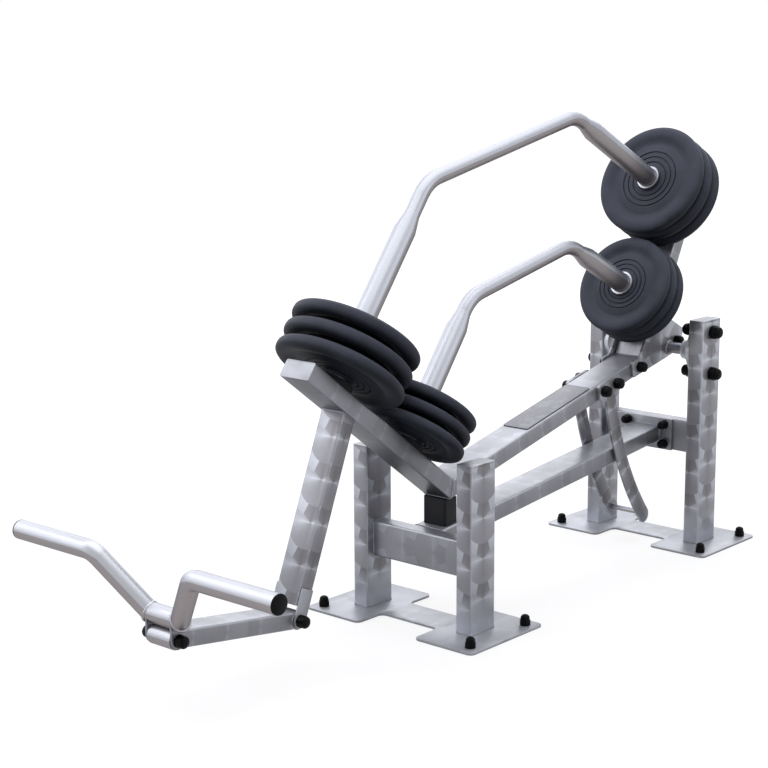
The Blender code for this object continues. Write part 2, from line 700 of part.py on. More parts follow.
def arm_and_incline(body, spots):
    """The main arm and the inclined beam, mitred at the bend."""
    size = (BEAM_WIDTH, BEAM_DEPTH)
    half_gap = spots["mitre"] * (GAP / 2)
    depth = spots["up"] * (ARM_TOP_OVER_HINGE - BEAM_DEPTH / 2)
    tail = spots["hinge"] + depth + spots["back"] * ARM_TAIL
    joint = spots["bend_middle"]
    start = meet(joint, spots["back"], joint + half_gap, spots["mitre"])
    arm = member("main_arm", body, size, start, tail, spots["mitre"], None, (False, True))
    begin = meet(joint, spots["rise"], joint - half_gap, spots["mitre"])
    front = spots["bend_top"] + spots["rise"] * INCLINE_LENGTH - spots["over"] * (BEAM_DEPTH / 2)
    member("inclined_beam", body, size, begin, front, spots["mitre"], None, (False, True))
    drill(arm, "axle_hole", AXLE_DIAMETER / 2 + AXLE_CLEARANCE, BEAM_WIDTH,
          in_space(0.0, spots["hinge"]), AXLE_SIDES)
    bolt_radius = BOLT_DIAMETER / 2 + BOLT_CLEARANCE
    places = [on_arm(spots, **bolt) for bolt in (FRONT_SIDE_BOLT, REAR_SIDE_BOLT)]
    places += [on_arm(spots, forward, 0.0) for forward in (HOOP_REAR_BOLT, HOOP_FRONT_BOLT)]
    for number, place in enumerate(places, start=1):
        drill(arm, f"bolt_hole_{number}", bolt_radius, BEAM_WIDTH, in_space(0.0, place))


def riser(body, spots):
    """The riser on the arm that takes the rear ends of both weight tubes."""
    middle = spots["hinge"] - spots["riser_back"] * RISER_AHEAD
    arm_top = spots["hinge"] + spots["up"] * (ARM_TOP_OVER_HINGE + GAP)
    foot = meet(middle, spots["riser_up"], arm_top, spots["up"])
    tube_end = upper_tube_path(spots)[3]
    level = meet(middle, spots["riser_up"], tube_end, spots["riser_up"])
    top = level + spots["riser_up"] * RISER_OVER_TUBE
    member("riser", body, (BEAM_WIDTH, BEAM_DEPTH), foot, top, spots["up"], None, (False, True))


def side_plates(body, spots):
    """The two plates that join arm, riser and axle, and their through bolts."""
    under = ARM_TOP_OVER_HINGE - BEAM_DEPTH + SIDE_PLATE_FOOT
    over = ARM_TOP_OVER_HINGE + SIDE_PLATE_LIP
    shoulder = spots["riser_front"] + spots["riser_up"] * SIDE_PLATE_RISE
    crown = (spots["hinge"] + spots["riser_back"] * SIDE_PLATE_REAR
             + spots["riser_up"] * SIDE_PLATE_RISE)
    corners = [
        on_arm(spots, SIDE_PLATE_FRONT, under),
        on_arm(spots, SIDE_PLATE_KEEL, ARM_TOP_OVER_HINGE - BEAM_DEPTH + SIDE_PLATE_KEEL_HEIGHT),
        on_arm(spots, -SIDE_PLATE_TAIL, under),
        crown,
        shoulder,
        on_arm(spots, SIDE_PLATE_SHOULDER, over),
        on_arm(spots, SIDE_PLATE_FRONT, over),
    ]
    outline = filleted(corners, SIDE_PLATE_CORNER, CORNER_STEPS)
    inner = BEAM_WIDTH / 2 + GAP
    outer = inner + SIDE_PLATE_THICKNESS
    for label, side in SIDES:
        plate = upright_plate(f"{label}_side_plate", "ground_steel", body, outline, inner, outer, side)
        middle_x = side * (inner + outer) / 2
        drill(plate, "axle_hole", AXLE_DIAMETER / 2 + AXLE_CLEARANCE, SIDE_PLATE_THICKNESS,
              in_space(middle_x, spots["hinge"]), AXLE_SIDES)
        for number, bolt in enumerate((FRONT_SIDE_BOLT, REAR_SIDE_BOLT), start=1):
            drill(plate, f"bolt_hole_{number}", BOLT_DIAMETER / 2 + BOLT_CLEARANCE,
                  SIDE_PLATE_THICKNESS, in_space(middle_x, on_arm(spots, **bolt)))
    for name, bolt in (("front_side_bolt", FRONT_SIDE_BOLT), ("rear_side_bolt", REAR_SIDE_BOLT)):
        seat = outer + GAP
        through_bolt(name, body, CAP, -seat, seat, on_arm(spots, **bolt))


def axle(body, spots):
    """The hinge axle, a thick tube with a collar welded outside each side plate."""
    radius = AXLE_DIAMETER / 2
    end = POST_HALF_SPACING - POST_WIDTH / 2 - AXLE_END_PLAY
    inner = BEAM_WIDTH / 2 + SIDE_PLATE_THICKNESS + 2 * GAP
    outer = inner + COLLAR_WIDTH
    half = [(radius, end), (radius, outer), (COLLAR_DIAMETER / 2, outer), (COLLAR_DIAMETER / 2, inner),
            (radius, inner)]
    profile = half + [(r, -x) for r, x in reversed(half)]
    profile += [(radius - AXLE_WALL, -end), (radius - AXLE_WALL, end)]
    mesh = turned("hinge_axle", profile, AXLE_SIDES, ring=True)
    piece("hinge_axle", mesh, "polished_tube", body, in_space(0.0, spots["hinge"]), ALONG_X)


def hanger(body, spots):
    """The hanger under the inclined beam, its two ears and the pivot bolt."""
    up = spots["hanger_up"]
    top = meet(spots["pivot"], up, spots["hanger_top"] - spots["over"] * GAP, spots["over"])
    bottom = spots["pivot"] + up * HANGER_END_OVER_PIVOT
    member("hanger", body, (HANGER_WIDTH, HANGER_DEPTH), bottom, top, None, spots["over"],
           (True, False))
    half = EAR_WIDTH / 2
    lean = Vector((up.y, -up.x))
    start_angle = math.atan2(-lean.y, -lean.x)
    outline = [spots["pivot"] + heading(start_angle + math.pi * step / EAR_STEPS) * half
               for step in range(EAR_STEPS + 1)]
    height = HANGER_END_OVER_PIVOT + EAR_OVERLAP
    outline += [spots["pivot"] + lean * half + up * height, spots["pivot"] - lean * half + up * height]
    pair_of_ears("hanger", body, outline, spots["pivot"])
    seat = HANGER_WIDTH / 2 + EAR_THICKNESS + 2 * GAP
    through_bolt("hanger_pivot_bolt", body, CAP, -seat, seat, spots["pivot"])


def pair_of_ears(owner, body, outline, pivot):
    """Two drilled ears on the outer sides of a fork."""
    inner = HANGER_WIDTH / 2 + GAP
    outer = inner + EAR_THICKNESS
    for label, side in SIDES:
        ear = upright_plate(f"{owner}_{label}_ear", "ground_steel", body, outline, inner, outer, side)
        drill(ear, "hole", BOLT_DIAMETER / 2 + BOLT_CLEARANCE, EAR_THICKNESS,
              in_space(side * (inner + outer) / 2, pivot))


def weight_tube(name, body, spots, corners, neck):
    """A bent tube: thick where the discs sit, drawn in by cones to the thin middle."""
    foot, front, rear, end = corners
    thick = THICK_DIAMETER / 2
    thin = THIN_DIAMETER / 2
    lift, down = spots["over"], spots["riser_back"]
    run = heading(MIDDLE_ANGLE)
    path = [(foot + lift * GAP, thick), (front - lift * (neck + NECK_LENGTH), thick),
            (front - lift * neck, thin)]
    path += [(place, thin) for place in corner_arc(front, -lift, run, WEIGHT_BEND_RADIUS, BEND_STEPS)]
    path += [(place, thin) for place in corner_arc(rear, -run, down, WEIGHT_BEND_RADIUS, BEND_STEPS)]
    path += [(rear + down * REAR_NECK_AFTER_BEND, thin),
             (rear + down * (REAR_NECK_AFTER_BEND + NECK_LENGTH), thick), (end - down * GAP, thick)]
    stations = [(in_space(0.0, place), radius) for place, radius in path]
    origin = stations[0][0]
    local = [(place - origin, radius) for place, radius in stations]
    item = piece(name, swept(name, local, TUBE_SIDES), "polished_tube", body, origin)
    inner = [(place, radius - WEIGHT_TUBE_WALL) for place, radius in local]
    inner[0] = (inner[0][0] - in_space(0.0, lift) * CUT_OVERSHOOT, inner[0][1])
    inner[-1] = (inner[-1][0] + in_space(0.0, down) * CUT_OVERSHOOT, inner[-1][1])
    combine(item, placed(name + "_bore", swept(name + "_bore", inner, TUBE_BORE_SIDES), body, origin))


def disc_mesh(name, disc, thickness):
    """A disc with a rounded rim, a shallow valley and a bush of the stack's full pitch."""
    bore = clear_bore(THICK_DIAMETER / 2 + DISC_CLEARANCE, DISC_SIDES)
    bush = bore + BUSH_WALL
    radius = disc["radius"]
    rim, valley = disc["rim"] / 2, disc["valley"] / 2
    half = [(bore, thickness / 2), (bush, thickness / 2), (bush + BUSH_SLOPE, valley)]
    half += [(radius * share, rim * rim_share) for share, rim_share in RIM_ROUND]
    profile = half + [(r, -z) for r, z in reversed(half)]
    return turned(name, profile, DISC_SIDES, ring=True)


def stack(name, arm, base, along, disc):
    """A buffer ring and three discs on a weight tube, from base along the tube.

    Each disc is carried by the one below, on an empty at its own middle.
    """
    rotation = (math.atan2(along.y, along.x) - math.pi / 2, 0.0, 0.0)
    inner = clear_bore(THICK_DIAMETER / 2 + BUFFER_CLEARANCE, BUFFER_SIDES)
    buffer_profile = [(inner, GAP), (BUFFER_DIAMETER / 2, GAP),
                      (BUFFER_DIAMETER / 2, BUFFER_THICKNESS - GAP), (inner, BUFFER_THICKNESS - GAP)]
    buffer_name = f"{name}_buffer"
    piece(buffer_name, turned(buffer_name, buffer_profile, BUFFER_SIDES, ring=True), "buffer_rubber",
          arm, in_space(0.0, base), rotation)
    pitch = disc["pitch"]
    for number in range(1, STACK_COUNT + 1):
        place = base + along * (BUFFER_THICKNESS + pitch * (number - 0.5))
        empty = joint_empty(f"{name}_slide_{number}", in_space(0.0, place))
        disc_name = f"{name}_disc_{number}"
        piece(disc_name, disc_mesh(disc_name, disc, pitch - GAP), "disc_rubber", empty,
              in_space(0.0, place), rotation)


def stop_hoop(body, spots):
    """Two curved bars bolted to the arm and the cross pin that catches the lower beam."""
    inner = BEAM_WIDTH / 2 + GAP + HOOP_PACKING
    outer = inner + HOOP_THICKNESS
    arc_middle_forward = HOOP_REACH - math.sqrt(HOOP_RADIUS ** 2 - HOOP_ARC_DROP ** 2)
    arc_middle = on_arm(spots, arc_middle_forward, -HOOP_ARC_DROP)
    begin = on_arm(spots, HOOP_REACH, 0.0) - arc_middle
    start_angle = math.atan2(begin.y, begin.x)
    half = HOOP_WIDTH / 2
    angles = [start_angle + HOOP_SWEEP * step / HOOP_STEPS for step in range(HOOP_STEPS + 1)]
    band = [arc_middle + heading(angle) * (HOOP_RADIUS + half) for angle in angles]
    end_middle = arc_middle + heading(angles[-1]) * HOOP_RADIUS
    for step in range(1, EAR_STEPS):
        band.append(end_middle + heading(angles[-1] + math.pi * step / EAR_STEPS) * half)
    band += [arc_middle + heading(angle) * (HOOP_RADIUS - half) for angle in reversed(angles)]
    low, high = ARM_TOP_OVER_HINGE - BEAM_DEPTH, ARM_TOP_OVER_HINGE
    front, rear = HOOP_FRONT_BOLT + HOOP_HEAD_MARGIN, HOOP_REAR_BOLT - HOOP_HEAD_MARGIN
    head = [on_arm(spots, forward, height)
            for forward, height in ((front, low), (rear, low), (rear, high), (front, high))]
    head = filleted(head, HOOP_HEAD_CORNER, CORNER_STEPS)
    pin_angle = angles[-1] - HOOP_PIN_FROM_END / HOOP_RADIUS
    pin = arc_middle + heading(pin_angle) * HOOP_RADIUS
    bolt_radius = BOLT_DIAMETER / 2 + BOLT_CLEARANCE
    head_inner = BEAM_WIDTH / 2 + GAP
    for label, side in SIDES:
        name = f"{label}_hoop_bar"
        bar = upright_plate(name, "ground_steel", body, band, inner, outer, side)
        head_name = name + "_head"
        head_tool = placed(head_name, extruded(head_name, head, outer - head_inner), body,
                           (head_inner if side > 0 else -outer, 0.0, 0.0), OUTLINE_YZ)
        combine(bar, head_tool, "UNION")
        middle_x = side * (head_inner + outer) / 2
        for number, forward in enumerate((HOOP_REAR_BOLT, HOOP_FRONT_BOLT), start=1):
            place = in_space(middle_x, on_arm(spots, forward, 0.0))
            drill(bar, f"bolt_hole_{number}", bolt_radius, outer - head_inner, place)
    for name, forward in (("rear_hoop_bolt", HOOP_REAR_BOLT), ("front_hoop_bolt", HOOP_FRONT_BOLT)):
        seat = outer + GAP
        through_bolt(name, body, CAP, -seat, seat, on_arm(spots, forward, 0.0))
    pin_mesh = bar_mesh("hoop_pin", HOOP_PIN_DIAMETER / 2, 2 * (inner - GAP), SHAFT_SIDES)
    piece("hoop_pin", pin_mesh, "polished_tube", body, in_space(0.0, pin), ALONG_X)


def info_plate(body, spots):
    """The bare plate on the arm's top, where instructions would go."""
    middle = on_arm(spots, INFO_REAR + INFO_LENGTH / 2, ARM_TOP_OVER_HINGE + GAP)
    corners = [Vector((sx * INFO_WIDTH / 2, sy * INFO_LENGTH / 2))
               for sx, sy in ((-1, -1), (1, -1), (1, 1), (-1, 1))]
    mesh = extruded("info_plate", filleted(corners, INFO_CORNER, CORNER_STEPS), INFO_THICKNESS)
    piece("info_plate", mesh, "info_plate", body, in_space(0.0, middle), (ARM_ANGLE, 0.0, 0.0))


def build_lever(body, spots):
    """Everything that turns with the arm, and the discs on its tubes."""
    arm_and_incline(body, spots)
    riser(body, spots)
    side_plates(body, spots)
    axle(body, spots)
    hanger(body, spots)
    stop_hoop(body, spots)
    info_plate(body, spots)
    levels = (("upper", upper_tube_path(spots), UPPER_TUBE, UPPER_DISC),
              ("lower", lower_tube_path(spots), LOWER_TUBE, LOWER_DISC))
    for level, corners, tube, disc in levels:
        weight_tube(f"{level}_weight_tube", body, spots, corners, tube["neck_before_bend"])
        stack(f"front_{level}", body, corners[0], spots["over"], disc)
        stack(f"rear_{level}", body, corners[-1], -spots["riser_back"], disc)


# Link and handle

def build_link(body, spots):
    """The link: a rectangular tube between two pivot tubes, bored for the pivot bolts."""
    pivot, far = spots["pivot"], spots["handle_pivot"]
    along = (far - pivot).normalized()
    half_width = HANGER_WIDTH / 2 + GAP - PIVOT_SIDE_PLAY
    radius = PIVOT_TUBE_DIAMETER / 2
    rotation = (math.atan2(along.y, along.x) - math.pi / 2, 0.0, 0.0)
    place = in_space(0.0, pivot)
    box = section("link", 2 * (half_width - LINK_SIDE_STEP), LINK_DEPTH, TUBE_CORNER,
                  ((LINK_ROOT, 0.0), (LINK_LENGTH - LINK_ROOT, 0.0)))
    link = piece("link", box, "ground_steel", body, place, rotation)
    for label, spot in (("rear", pivot), ("front", far)):
        name = f"link_{label}_pivot_tube"
        tube = placed(name, bar_mesh(name, radius, 2 * half_width, AXLE_SIDES), body,
                      in_space(0.0, spot), ALONG_X)
        combine(link, tube, "UNION")
    inset = radius + TUBE_WALL
    cavity = section("link_bore", 2 * (half_width - TUBE_WALL), LINK_DEPTH - 2 * TUBE_WALL,
                     TUBE_CORNER - TUBE_WALL, ((inset, 0.0), (LINK_LENGTH - inset, 0.0)))
    combine(link, placed("link_bore", cavity, body, place, rotation))
    vent = pivot + along * (LINK_LENGTH / 2) + square_to(along) * (LINK_DEPTH / 2)
    drill(link, "vent", VENT_DIAMETER / 2, TUBE_WALL, in_space(0.0, vent), CAP_SIDES,
          (math.atan2(along.y, along.x), 0.0, 0.0))
    for label, spot in (("rear", pivot), ("front", far)):
        drill(link, f"{label}_pivot_hole", BOLT_DIAMETER / 2 + BOLT_CLEARANCE, 2 * half_width,
              in_space(0.0, spot))


def build_handle(body, spots):
    """The pull handle: a mitred and bent tube on two ears, with plugs in the grips."""
    pivot, sleeve, grip = spots["handle_pivot"], spots["sleeve"], spots["grip"]
    radius = HANDLE_TUBE_DIAMETER / 2
    half = []
    joint = in_space(SLEEVE_HALF_LENGTH, sleeve)
    corner = in_space(HANDLE_BEND_X, grip)
    tip = in_space(GRIP_END_X - PLUG_THICKNESS, grip)
    half.append(joint)
    half += corner_arc(corner, (joint - corner).normalized(), (tip - corner).normalized(),
                       HANDLE_BEND_RADIUS, BEND_STEPS)
    half.append(tip)
    path = [Vector((-place.x, place.y, place.z)) for place in reversed(half)] + half
    origin = in_space(0.0, pivot)
    local = [(place - origin, radius) for place in path]
    bar = piece("handle_bar", swept("handle_bar", local, TUBE_SIDES), "polished_tube", body, origin)
    inner = [(place, radius - HANDLE_TUBE_WALL) for place, _ in local]
    overshoot = Vector((CUT_OVERSHOOT, 0.0, 0.0))
    inner[0] = (inner[0][0] - overshoot, inner[0][1])
    inner[-1] = (inner[-1][0] + overshoot, inner[-1][1])
    bore = swept("handle_bar_bore", inner, TUBE_BORE_SIDES)
    combine(bar, placed("handle_bar_bore", bore, body, origin))

    width = HANDLE_EAR_WIDTH / 2
    saddle = radius + GAP
    open_angle = math.asin(width / saddle)
    outline = [pivot + heading(math.pi + math.pi * step / EAR_STEPS) * width
               for step in range(EAR_STEPS + 1)]
    clear_saddle = saddle / math.cos(open_angle / SADDLE_STEPS)
    for step in range(SADDLE_STEPS + 1):
        angle = -math.pi / 2 + open_angle - 2 * open_angle * step / SADDLE_STEPS
        outline.append(sleeve + heading(angle) * clear_saddle)
    pair_of_ears("handle", body, outline, pivot)
    seat = HANGER_WIDTH / 2 + EAR_THICKNESS + 2 * GAP
    through_bolt("handle_pivot_bolt", body, CAP, -seat, seat, pivot)

    stem = (radius - HANDLE_TUBE_WALL) * math.cos(math.pi / TUBE_BORE_SIDES) - PLUG_CLEARANCE
    face = GRIP_END_X - PLUG_THICKNESS + GAP
    profile = [(0.0, face - PLUG_DEPTH), (stem, face - PLUG_DEPTH), (stem, face), (radius, face),
               (radius, GRIP_END_X - PLUG_EDGE), (radius - PLUG_EDGE, GRIP_END_X), (0.0, GRIP_END_X)]
    for label, side in SIDES:
        name = f"{label}_grip_plug"
        piece(name, turned(name, profile, TUBE_SIDES), "cap_plastic", body, in_space(0.0, grip),
              (0.0, side * math.pi / 2, 0.0))


def main():
    """Clear the scene and build the machine, one empty for each moving body."""
    for item in list(bpy.data.objects):
        bpy.data.objects.remove(item)
    spots = layout()
    base = joint_empty("base", (0.0, 0.0, 0.0))
    lever = joint_empty("lever", in_space(0.0, spots["hinge"]))
    link = joint_empty("link_pivot", in_space(0.0, spots["pivot"]))
    handle = joint_empty("handle_pivot", in_space(0.0, spots["handle_pivot"]))
    build_base(base, spots)
    build_lever(lever, spots)
    build_link(link, spots)
    build_handle(handle, spots)


main()
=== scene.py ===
"""Looks of an outdoor biceps machine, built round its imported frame.

Each piece is modelled with Blender's own operators at its real size on the bench, which is the
world's origin. It is then put in its place and tied to the CAD body that it moves with.
"""
import logging
import math
from contextlib import contextmanager
from dataclasses import dataclass, field
from enum import Enum
from typing import Callable, Iterator, Optional, Sequence

import bmesh
import bpy
from bpy.types import Material, Node, NodeSocket, NodeTree, Object
from mathutils import Matrix, Vector


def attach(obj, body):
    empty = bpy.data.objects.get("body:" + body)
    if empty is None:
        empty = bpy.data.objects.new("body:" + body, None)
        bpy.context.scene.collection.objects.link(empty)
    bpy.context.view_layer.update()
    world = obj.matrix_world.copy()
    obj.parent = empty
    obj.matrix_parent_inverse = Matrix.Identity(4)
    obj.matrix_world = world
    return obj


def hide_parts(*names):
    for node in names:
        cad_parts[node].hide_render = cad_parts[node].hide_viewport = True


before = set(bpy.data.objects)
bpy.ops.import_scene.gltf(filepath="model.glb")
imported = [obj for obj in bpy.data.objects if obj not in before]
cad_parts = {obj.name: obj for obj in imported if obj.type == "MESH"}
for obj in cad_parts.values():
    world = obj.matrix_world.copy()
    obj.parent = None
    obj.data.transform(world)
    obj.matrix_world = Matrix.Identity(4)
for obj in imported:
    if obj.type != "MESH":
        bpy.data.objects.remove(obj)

LOG = logging.getLogger("biceps_machine")
GAP = 0.0003
MERGE_DISTANCE = 0.00001
TUBE_CORNER = 0.006
# How far tube ends and fine rims, and the rims of thicker plates are rounded
END_ROUND = 0.0010
RIM_ROUND = 0.0012
# How deep a cap's foot stands in the nut's seat
CAP_SINK = 0.0005
SMOOTH_ANGLE = math.radians(33)
SHARP_ANGLE = math.radians(30)
SIDES = (("left", -1), ("right", 1))
ACROSS = Vector((1.0, 0.0, 0.0))
UPWARD = Vector((0.0, 0.0, 1.0))
SPOT_PITCH = 0.111
SPOT_RADIUS = 0.069
GRAIN_MAP = "Grain"
# Where the rows of spots begin on each member, so that no two members look alike
PHASES = {"front_crossbar": 1.25, "rear_crossbar": 2.37, "lower_beam": 3.11, "beam_flange": 4.4,
          "main_arm": 5.02, "inclined_beam": 6.31, "riser": 7.77, "side_plate": 8.02, "hanger_ear": 9.9,
          "hoop_bar": 10.2, "hoop_head": 11.0, "link": 12.3, "handle_ear": 13.1}


class Slot(Enum):
    """The record's material slots."""

    STEEL = "ground_steel"
    TUBE = "polished_tube"
    CASTING = "bearing_casting"
    DISC = "disc_rubber"
    BUFFER = "buffer_rubber"
    CAP = "cap_plastic"
    PLATE = "info_plate"


@dataclass(frozen=True)
class Grain:
    """Where the grinding spots lie on a member: along it, and on its narrow side faces."""

    phase: float = 0.0
    side_phase: float = 0.024
    side_shift: float = 0.0


# Tools of the bench

def deselect() -> None:
    """Leave edit mode and deselect every object."""
    if bpy.context.mode != "OBJECT":
        bpy.ops.object.mode_set(mode="OBJECT")
    bpy.ops.object.select_all(action="DESELECT")


def take(piece: Object) -> None:
    """Make the piece the only selected and the active object."""
    deselect()
    piece.select_set(True)
    bpy.context.view_layer.objects.active = piece


@contextmanager
def editing(piece: Object) -> Iterator[None]:
    """Edit mode on one piece with all of it selected.

    Args:
        piece: the mesh object to shape.
    """
    take(piece)
    bpy.ops.object.mode_set(mode="EDIT")
    bpy.ops.mesh.select_all(action="SELECT")
    yield
    bpy.ops.object.mode_set(mode="OBJECT")


def named(name: str) -> Object:
    """The object that an operator has just added, under its own name, with its place kept in its mesh."""
    piece = bpy.context.active_object
    piece.name = name
    piece.data.name = name
    bpy.ops.object.transform_apply(location=True, rotation=True, scale=True)
    return piece


def put(piece: Object, matrix: Matrix) -> Object:
    """Carry a piece from the bench to its place, with the place kept in its mesh.

    Args:
        piece: an object on the bench.
        matrix: where its own axes and origin go.

    Returns:
        The same object.
    """
    piece.matrix_world = matrix
    take(piece)
    bpy.ops.object.transform_apply(location=True, rotation=True, scale=True)
    return piece


def copy_of(piece: Object, name: str, matrix: Matrix) -> Object:
    """A copy with its own mesh, carried to its place.

    Args:
        piece: the pattern piece on the bench.
        name: the copy's name.
        matrix: where the copy goes.

    Returns:
        The copy.
    """
    twin = piece.copy()
    twin.data = piece.data.copy()
    twin.name = name
    twin.data.name = name
    bpy.context.scene.collection.objects.link(twin)
    return put(twin, matrix)


def discard(piece: Object) -> None:
    """Remove a bench piece that was only a pattern or a tool."""
    bpy.data.objects.remove(piece, do_unlink=True)


def joined(name: str, pieces: Sequence[Object]) -> Object:
    """Several meshes as one object.

    Args:
        name: the object's name.
        pieces: the objects to join; the first keeps its materials.

    Returns:
        The joined object.
    """
    take(pieces[0])
    for piece in pieces[1:]:
        piece.select_set(True)
    bpy.ops.object.join()
    return named(name)


def combine(piece: Object, tool: Object, operation: str) -> Object:
    """Unite the piece with a tool or cut the tool from it, and drop the tool.

    Args:
        piece: the object that stays.
        tool: the object that is used up.
        operation: UNION or DIFFERENCE.

    Returns:
        The piece.
    """
    take(piece)
    modifier = piece.modifiers.new("combine", "BOOLEAN")
    modifier.operation = operation
    modifier.solver = "EXACT"
    modifier.object = tool
    bpy.ops.object.modifier_apply(modifier=modifier.name)
    discard(tool)
    return piece


def round_edges(piece: Object, offset: float, segments: int, test: Callable) -> None:
    """Bevel the edges of a piece that the test picks.

    Args:
        piece: the object to shape.
        offset: the bevel's width in metres.
        segments: steps across the bevel.
        test: takes a bmesh edge.
    """
    with editing(piece):
        bpy.ops.mesh.select_mode(type="EDGE")
        bpy.ops.mesh.select_all(action="DESELECT")
        shape = bmesh.from_edit_mesh(piece.data)
        for edge in shape.edges:
            if test(edge):
                edge.select_set(True)
        shape.select_flush_mode()
        bmesh.update_edit_mesh(piece.data)
        bpy.ops.mesh.bevel(offset=offset, segments=segments, affect="EDGES", clamp_overlap=True)


def is_sharp(edge: bmesh.types.BMEdge) -> bool:
    """Whether two faces meet at a clear angle along the edge."""
    return len(edge.link_faces) == 2 and edge.calc_face_angle() > SHARP_ANGLE


def runs_along(edge: bmesh.types.BMEdge, axis: Vector) -> bool:
    """Whether the edge is parallel to the axis."""
    step = edge.verts[1].co - edge.verts[0].co
    return abs(step.normalized().dot(axis)) > 0.999


def cut(piece: Object, point: Vector, normal: Vector) -> None:
    """Cut off what lies beyond a plane and close the cut.

    Args:
        piece: the object on the bench.
        point: a point of the plane.
        normal: the plane's normal, towards what goes.
    """
    with editing(piece):
        bpy.ops.mesh.bisect(plane_co=point, plane_no=normal, use_fill=True, clear_outer=True)


def closed_up(piece: Object) -> Object:
    """Merge doubles and turn all faces outwards."""
    with editing(piece):
        bpy.ops.mesh.remove_doubles(threshold=MERGE_DISTANCE)
        bpy.ops.mesh.select_all(action="SELECT")
        bpy.ops.mesh.normals_make_consistent(inside=False)
    return piece


def lay_map(piece: Object, spot: Callable) -> None:
    """Give the piece its UV map in metres.

    Args:
        piece: the object to map.
        spot: takes a corner's place and its face's normal, and gives U and V.
    """
    mesh = piece.data
    layer = mesh.uv_layers[0] if mesh.uv_layers else mesh.uv_layers.new()
    layer.name = GRAIN_MAP
    for face in mesh.polygons:
        for corner in face.loop_indices:
            place = mesh.vertices[mesh.loops[corner].vertex_index].co
            layer.data[corner].uv = spot(place, face.normal)


def lay_grain(piece: Object, grain: Grain) -> None:
    """Map a bar: U along local Z, V from the middle of each face.

    Args:
        piece: the bar on the bench.
        grain: where the spots lie.
    """
    def spot(place: Vector, normal: Vector) -> tuple[float, float]:
        """U and V on a broad face, a narrow face or an end."""
        size = [abs(value) for value in normal]
        axis = size.index(max(size))
        if axis == 0:
            return (place.z + grain.phase, place.y)
        if axis == 1:
            return (place.z + grain.phase + grain.side_phase, place.x + grain.side_shift)
        return (place.y + grain.phase, place.x)
    lay_map(piece, spot)


def lay_flat_grain(piece: Object, grain: Grain, turned_map: bool = False) -> None:
    """Map a plate from its own X and Y.

    Args:
        piece: the plate on the bench.
        grain: where the spots lie.
        turned_map: True if the rows of spots run along Y.
    """
    u, v = (1, 0) if turned_map else (0, 1)
    lay_map(piece, lambda place, _: (place[u] + grain.phase, place[v] + grain.side_shift))


def lay_arc_grain(piece: Object, middle: Vector, radius: float, phase: float) -> None:
    """Map a curved bar in its place: U along its arc, V across it.

    Args:
        piece: the bar.
        middle: the arc's centre in the middle plane.
        radius: the arc's radius.
        phase: where the spots lie along it.
    """
    def spot(place: Vector, _: Vector) -> tuple[float, float]:
        """U and V round the arc's centre."""
        spoke = place - middle
        along = math.atan2(spoke.z, -spoke.y) * radius
        return (along + phase, math.hypot(spoke.y, spoke.z) - radius)
    lay_map(piece, spot)


def mark_corner_highlight(piece: Object, width: float, depth: float) -> None:
    """Write how far each vertex lies round a long corner: 0 on a flat, 1 at the corner's middle, for the
    steel's painted corner highlight.

    Args:
        piece: a bar on the bench.
        width: the bar's size along X.
        depth: the bar's size along Y.
    """
    inner = Vector((width / 2 - TUBE_CORNER, depth / 2 - TUBE_CORNER))
    mark = piece.data.attributes.new("corner", "FLOAT", "POINT")
    for vertex in piece.data.vertices:
        aside = Vector((abs(vertex.co.x), abs(vertex.co.y))) - inner
        value = 0.0
        if aside.x > 0.0 and aside.y > 0.0:
            value = math.sin(2.0 * math.atan2(aside.y, aside.x))
        mark.data[vertex.index].value = value


def bar(name: str, width: float, depth: float, low: float, high: float,
        corner: float = TUBE_CORNER) -> Object:
    """A rectangular bar with rounded long edges, along local Z.

    Args:
        name: the object's name.
        width: size along X.
        depth: size along Y.
        low: where it starts on Z.
        high: where it ends on Z.
        corner: radius of the long edges.

    Returns:
        The bar on the bench.
    """
    deselect()
    bpy.ops.mesh.primitive_cube_add(size=1.0, location=(0.0, 0.0, (low + high) / 2),
                                    scale=(width, depth, high - low))
    piece = named(name)
    round_edges(piece, corner, 5, lambda edge: runs_along(edge, UPWARD))
    return piece


def soften_ends(piece: Object, offset: float) -> None:
    """Round the edges of a bar's two end faces a little."""
    def at_end(edge: bmesh.types.BMEdge) -> bool:
        """Whether the edge bounds an end face."""
        return is_sharp(edge) and any(abs(face.normal.z) > 0.5 for face in edge.link_faces) \
            and not runs_along(edge, UPWARD)
    round_edges(piece, offset, 2, at_end)


def member_frame(start: Vector, along: Vector) -> Matrix:
    """Axes of a member in the middle plane: Z along it, Y down from its top, X across.

    Args:
        start: the member's start, on its middle line.
        along: unit direction.

    Returns:
        The matrix that carries the bench to the member.
    """
    down = Vector((0.0, along.z, -along.y))
    turn = Matrix((ACROSS, down, along)).transposed()
    return Matrix.Translation(start) @ turn.to_4x4()


def beam(name: str, size: tuple[float, float], start: Vector, end: Vector, start_normal: Optional[Vector],
         end_normal: Optional[Vector] = None, grain: Optional[Grain] = None) -> Object:
    """A rectangular tube between two points, its ends square or cut along planes.

    Args:
        name: the object's name.
        size: width across the machine and depth.
        start: middle of the start.
        end: middle of the end.
        start_normal: outward normal of the start's plane, or None.
        end_normal: outward normal of the end's plane, or None.
        grain: where the grinding spots lie, or None to take it from the table of phases.

    Returns:
        The tube in its place.
    """
    along = (end - start).normalized()
    length = (end - start).length
    place = member_frame(start, along)
    inverse = place.inverted()
    spare = max(size)
    low = -spare if start_normal else 0.0
    high = length + spare if end_normal else length
    piece = bar(name, *size, low, high)
    for point, normal in ((start, start_normal), (end, end_normal)):
        if normal:
            cut(piece, inverse @ point, inverse.to_3x3() @ normal)
    mark_corner_highlight(piece, *size)
    soften_ends(piece, END_ROUND)
    lay_grain(piece, grain or Grain(PHASES[name]))
    return put(piece, place)


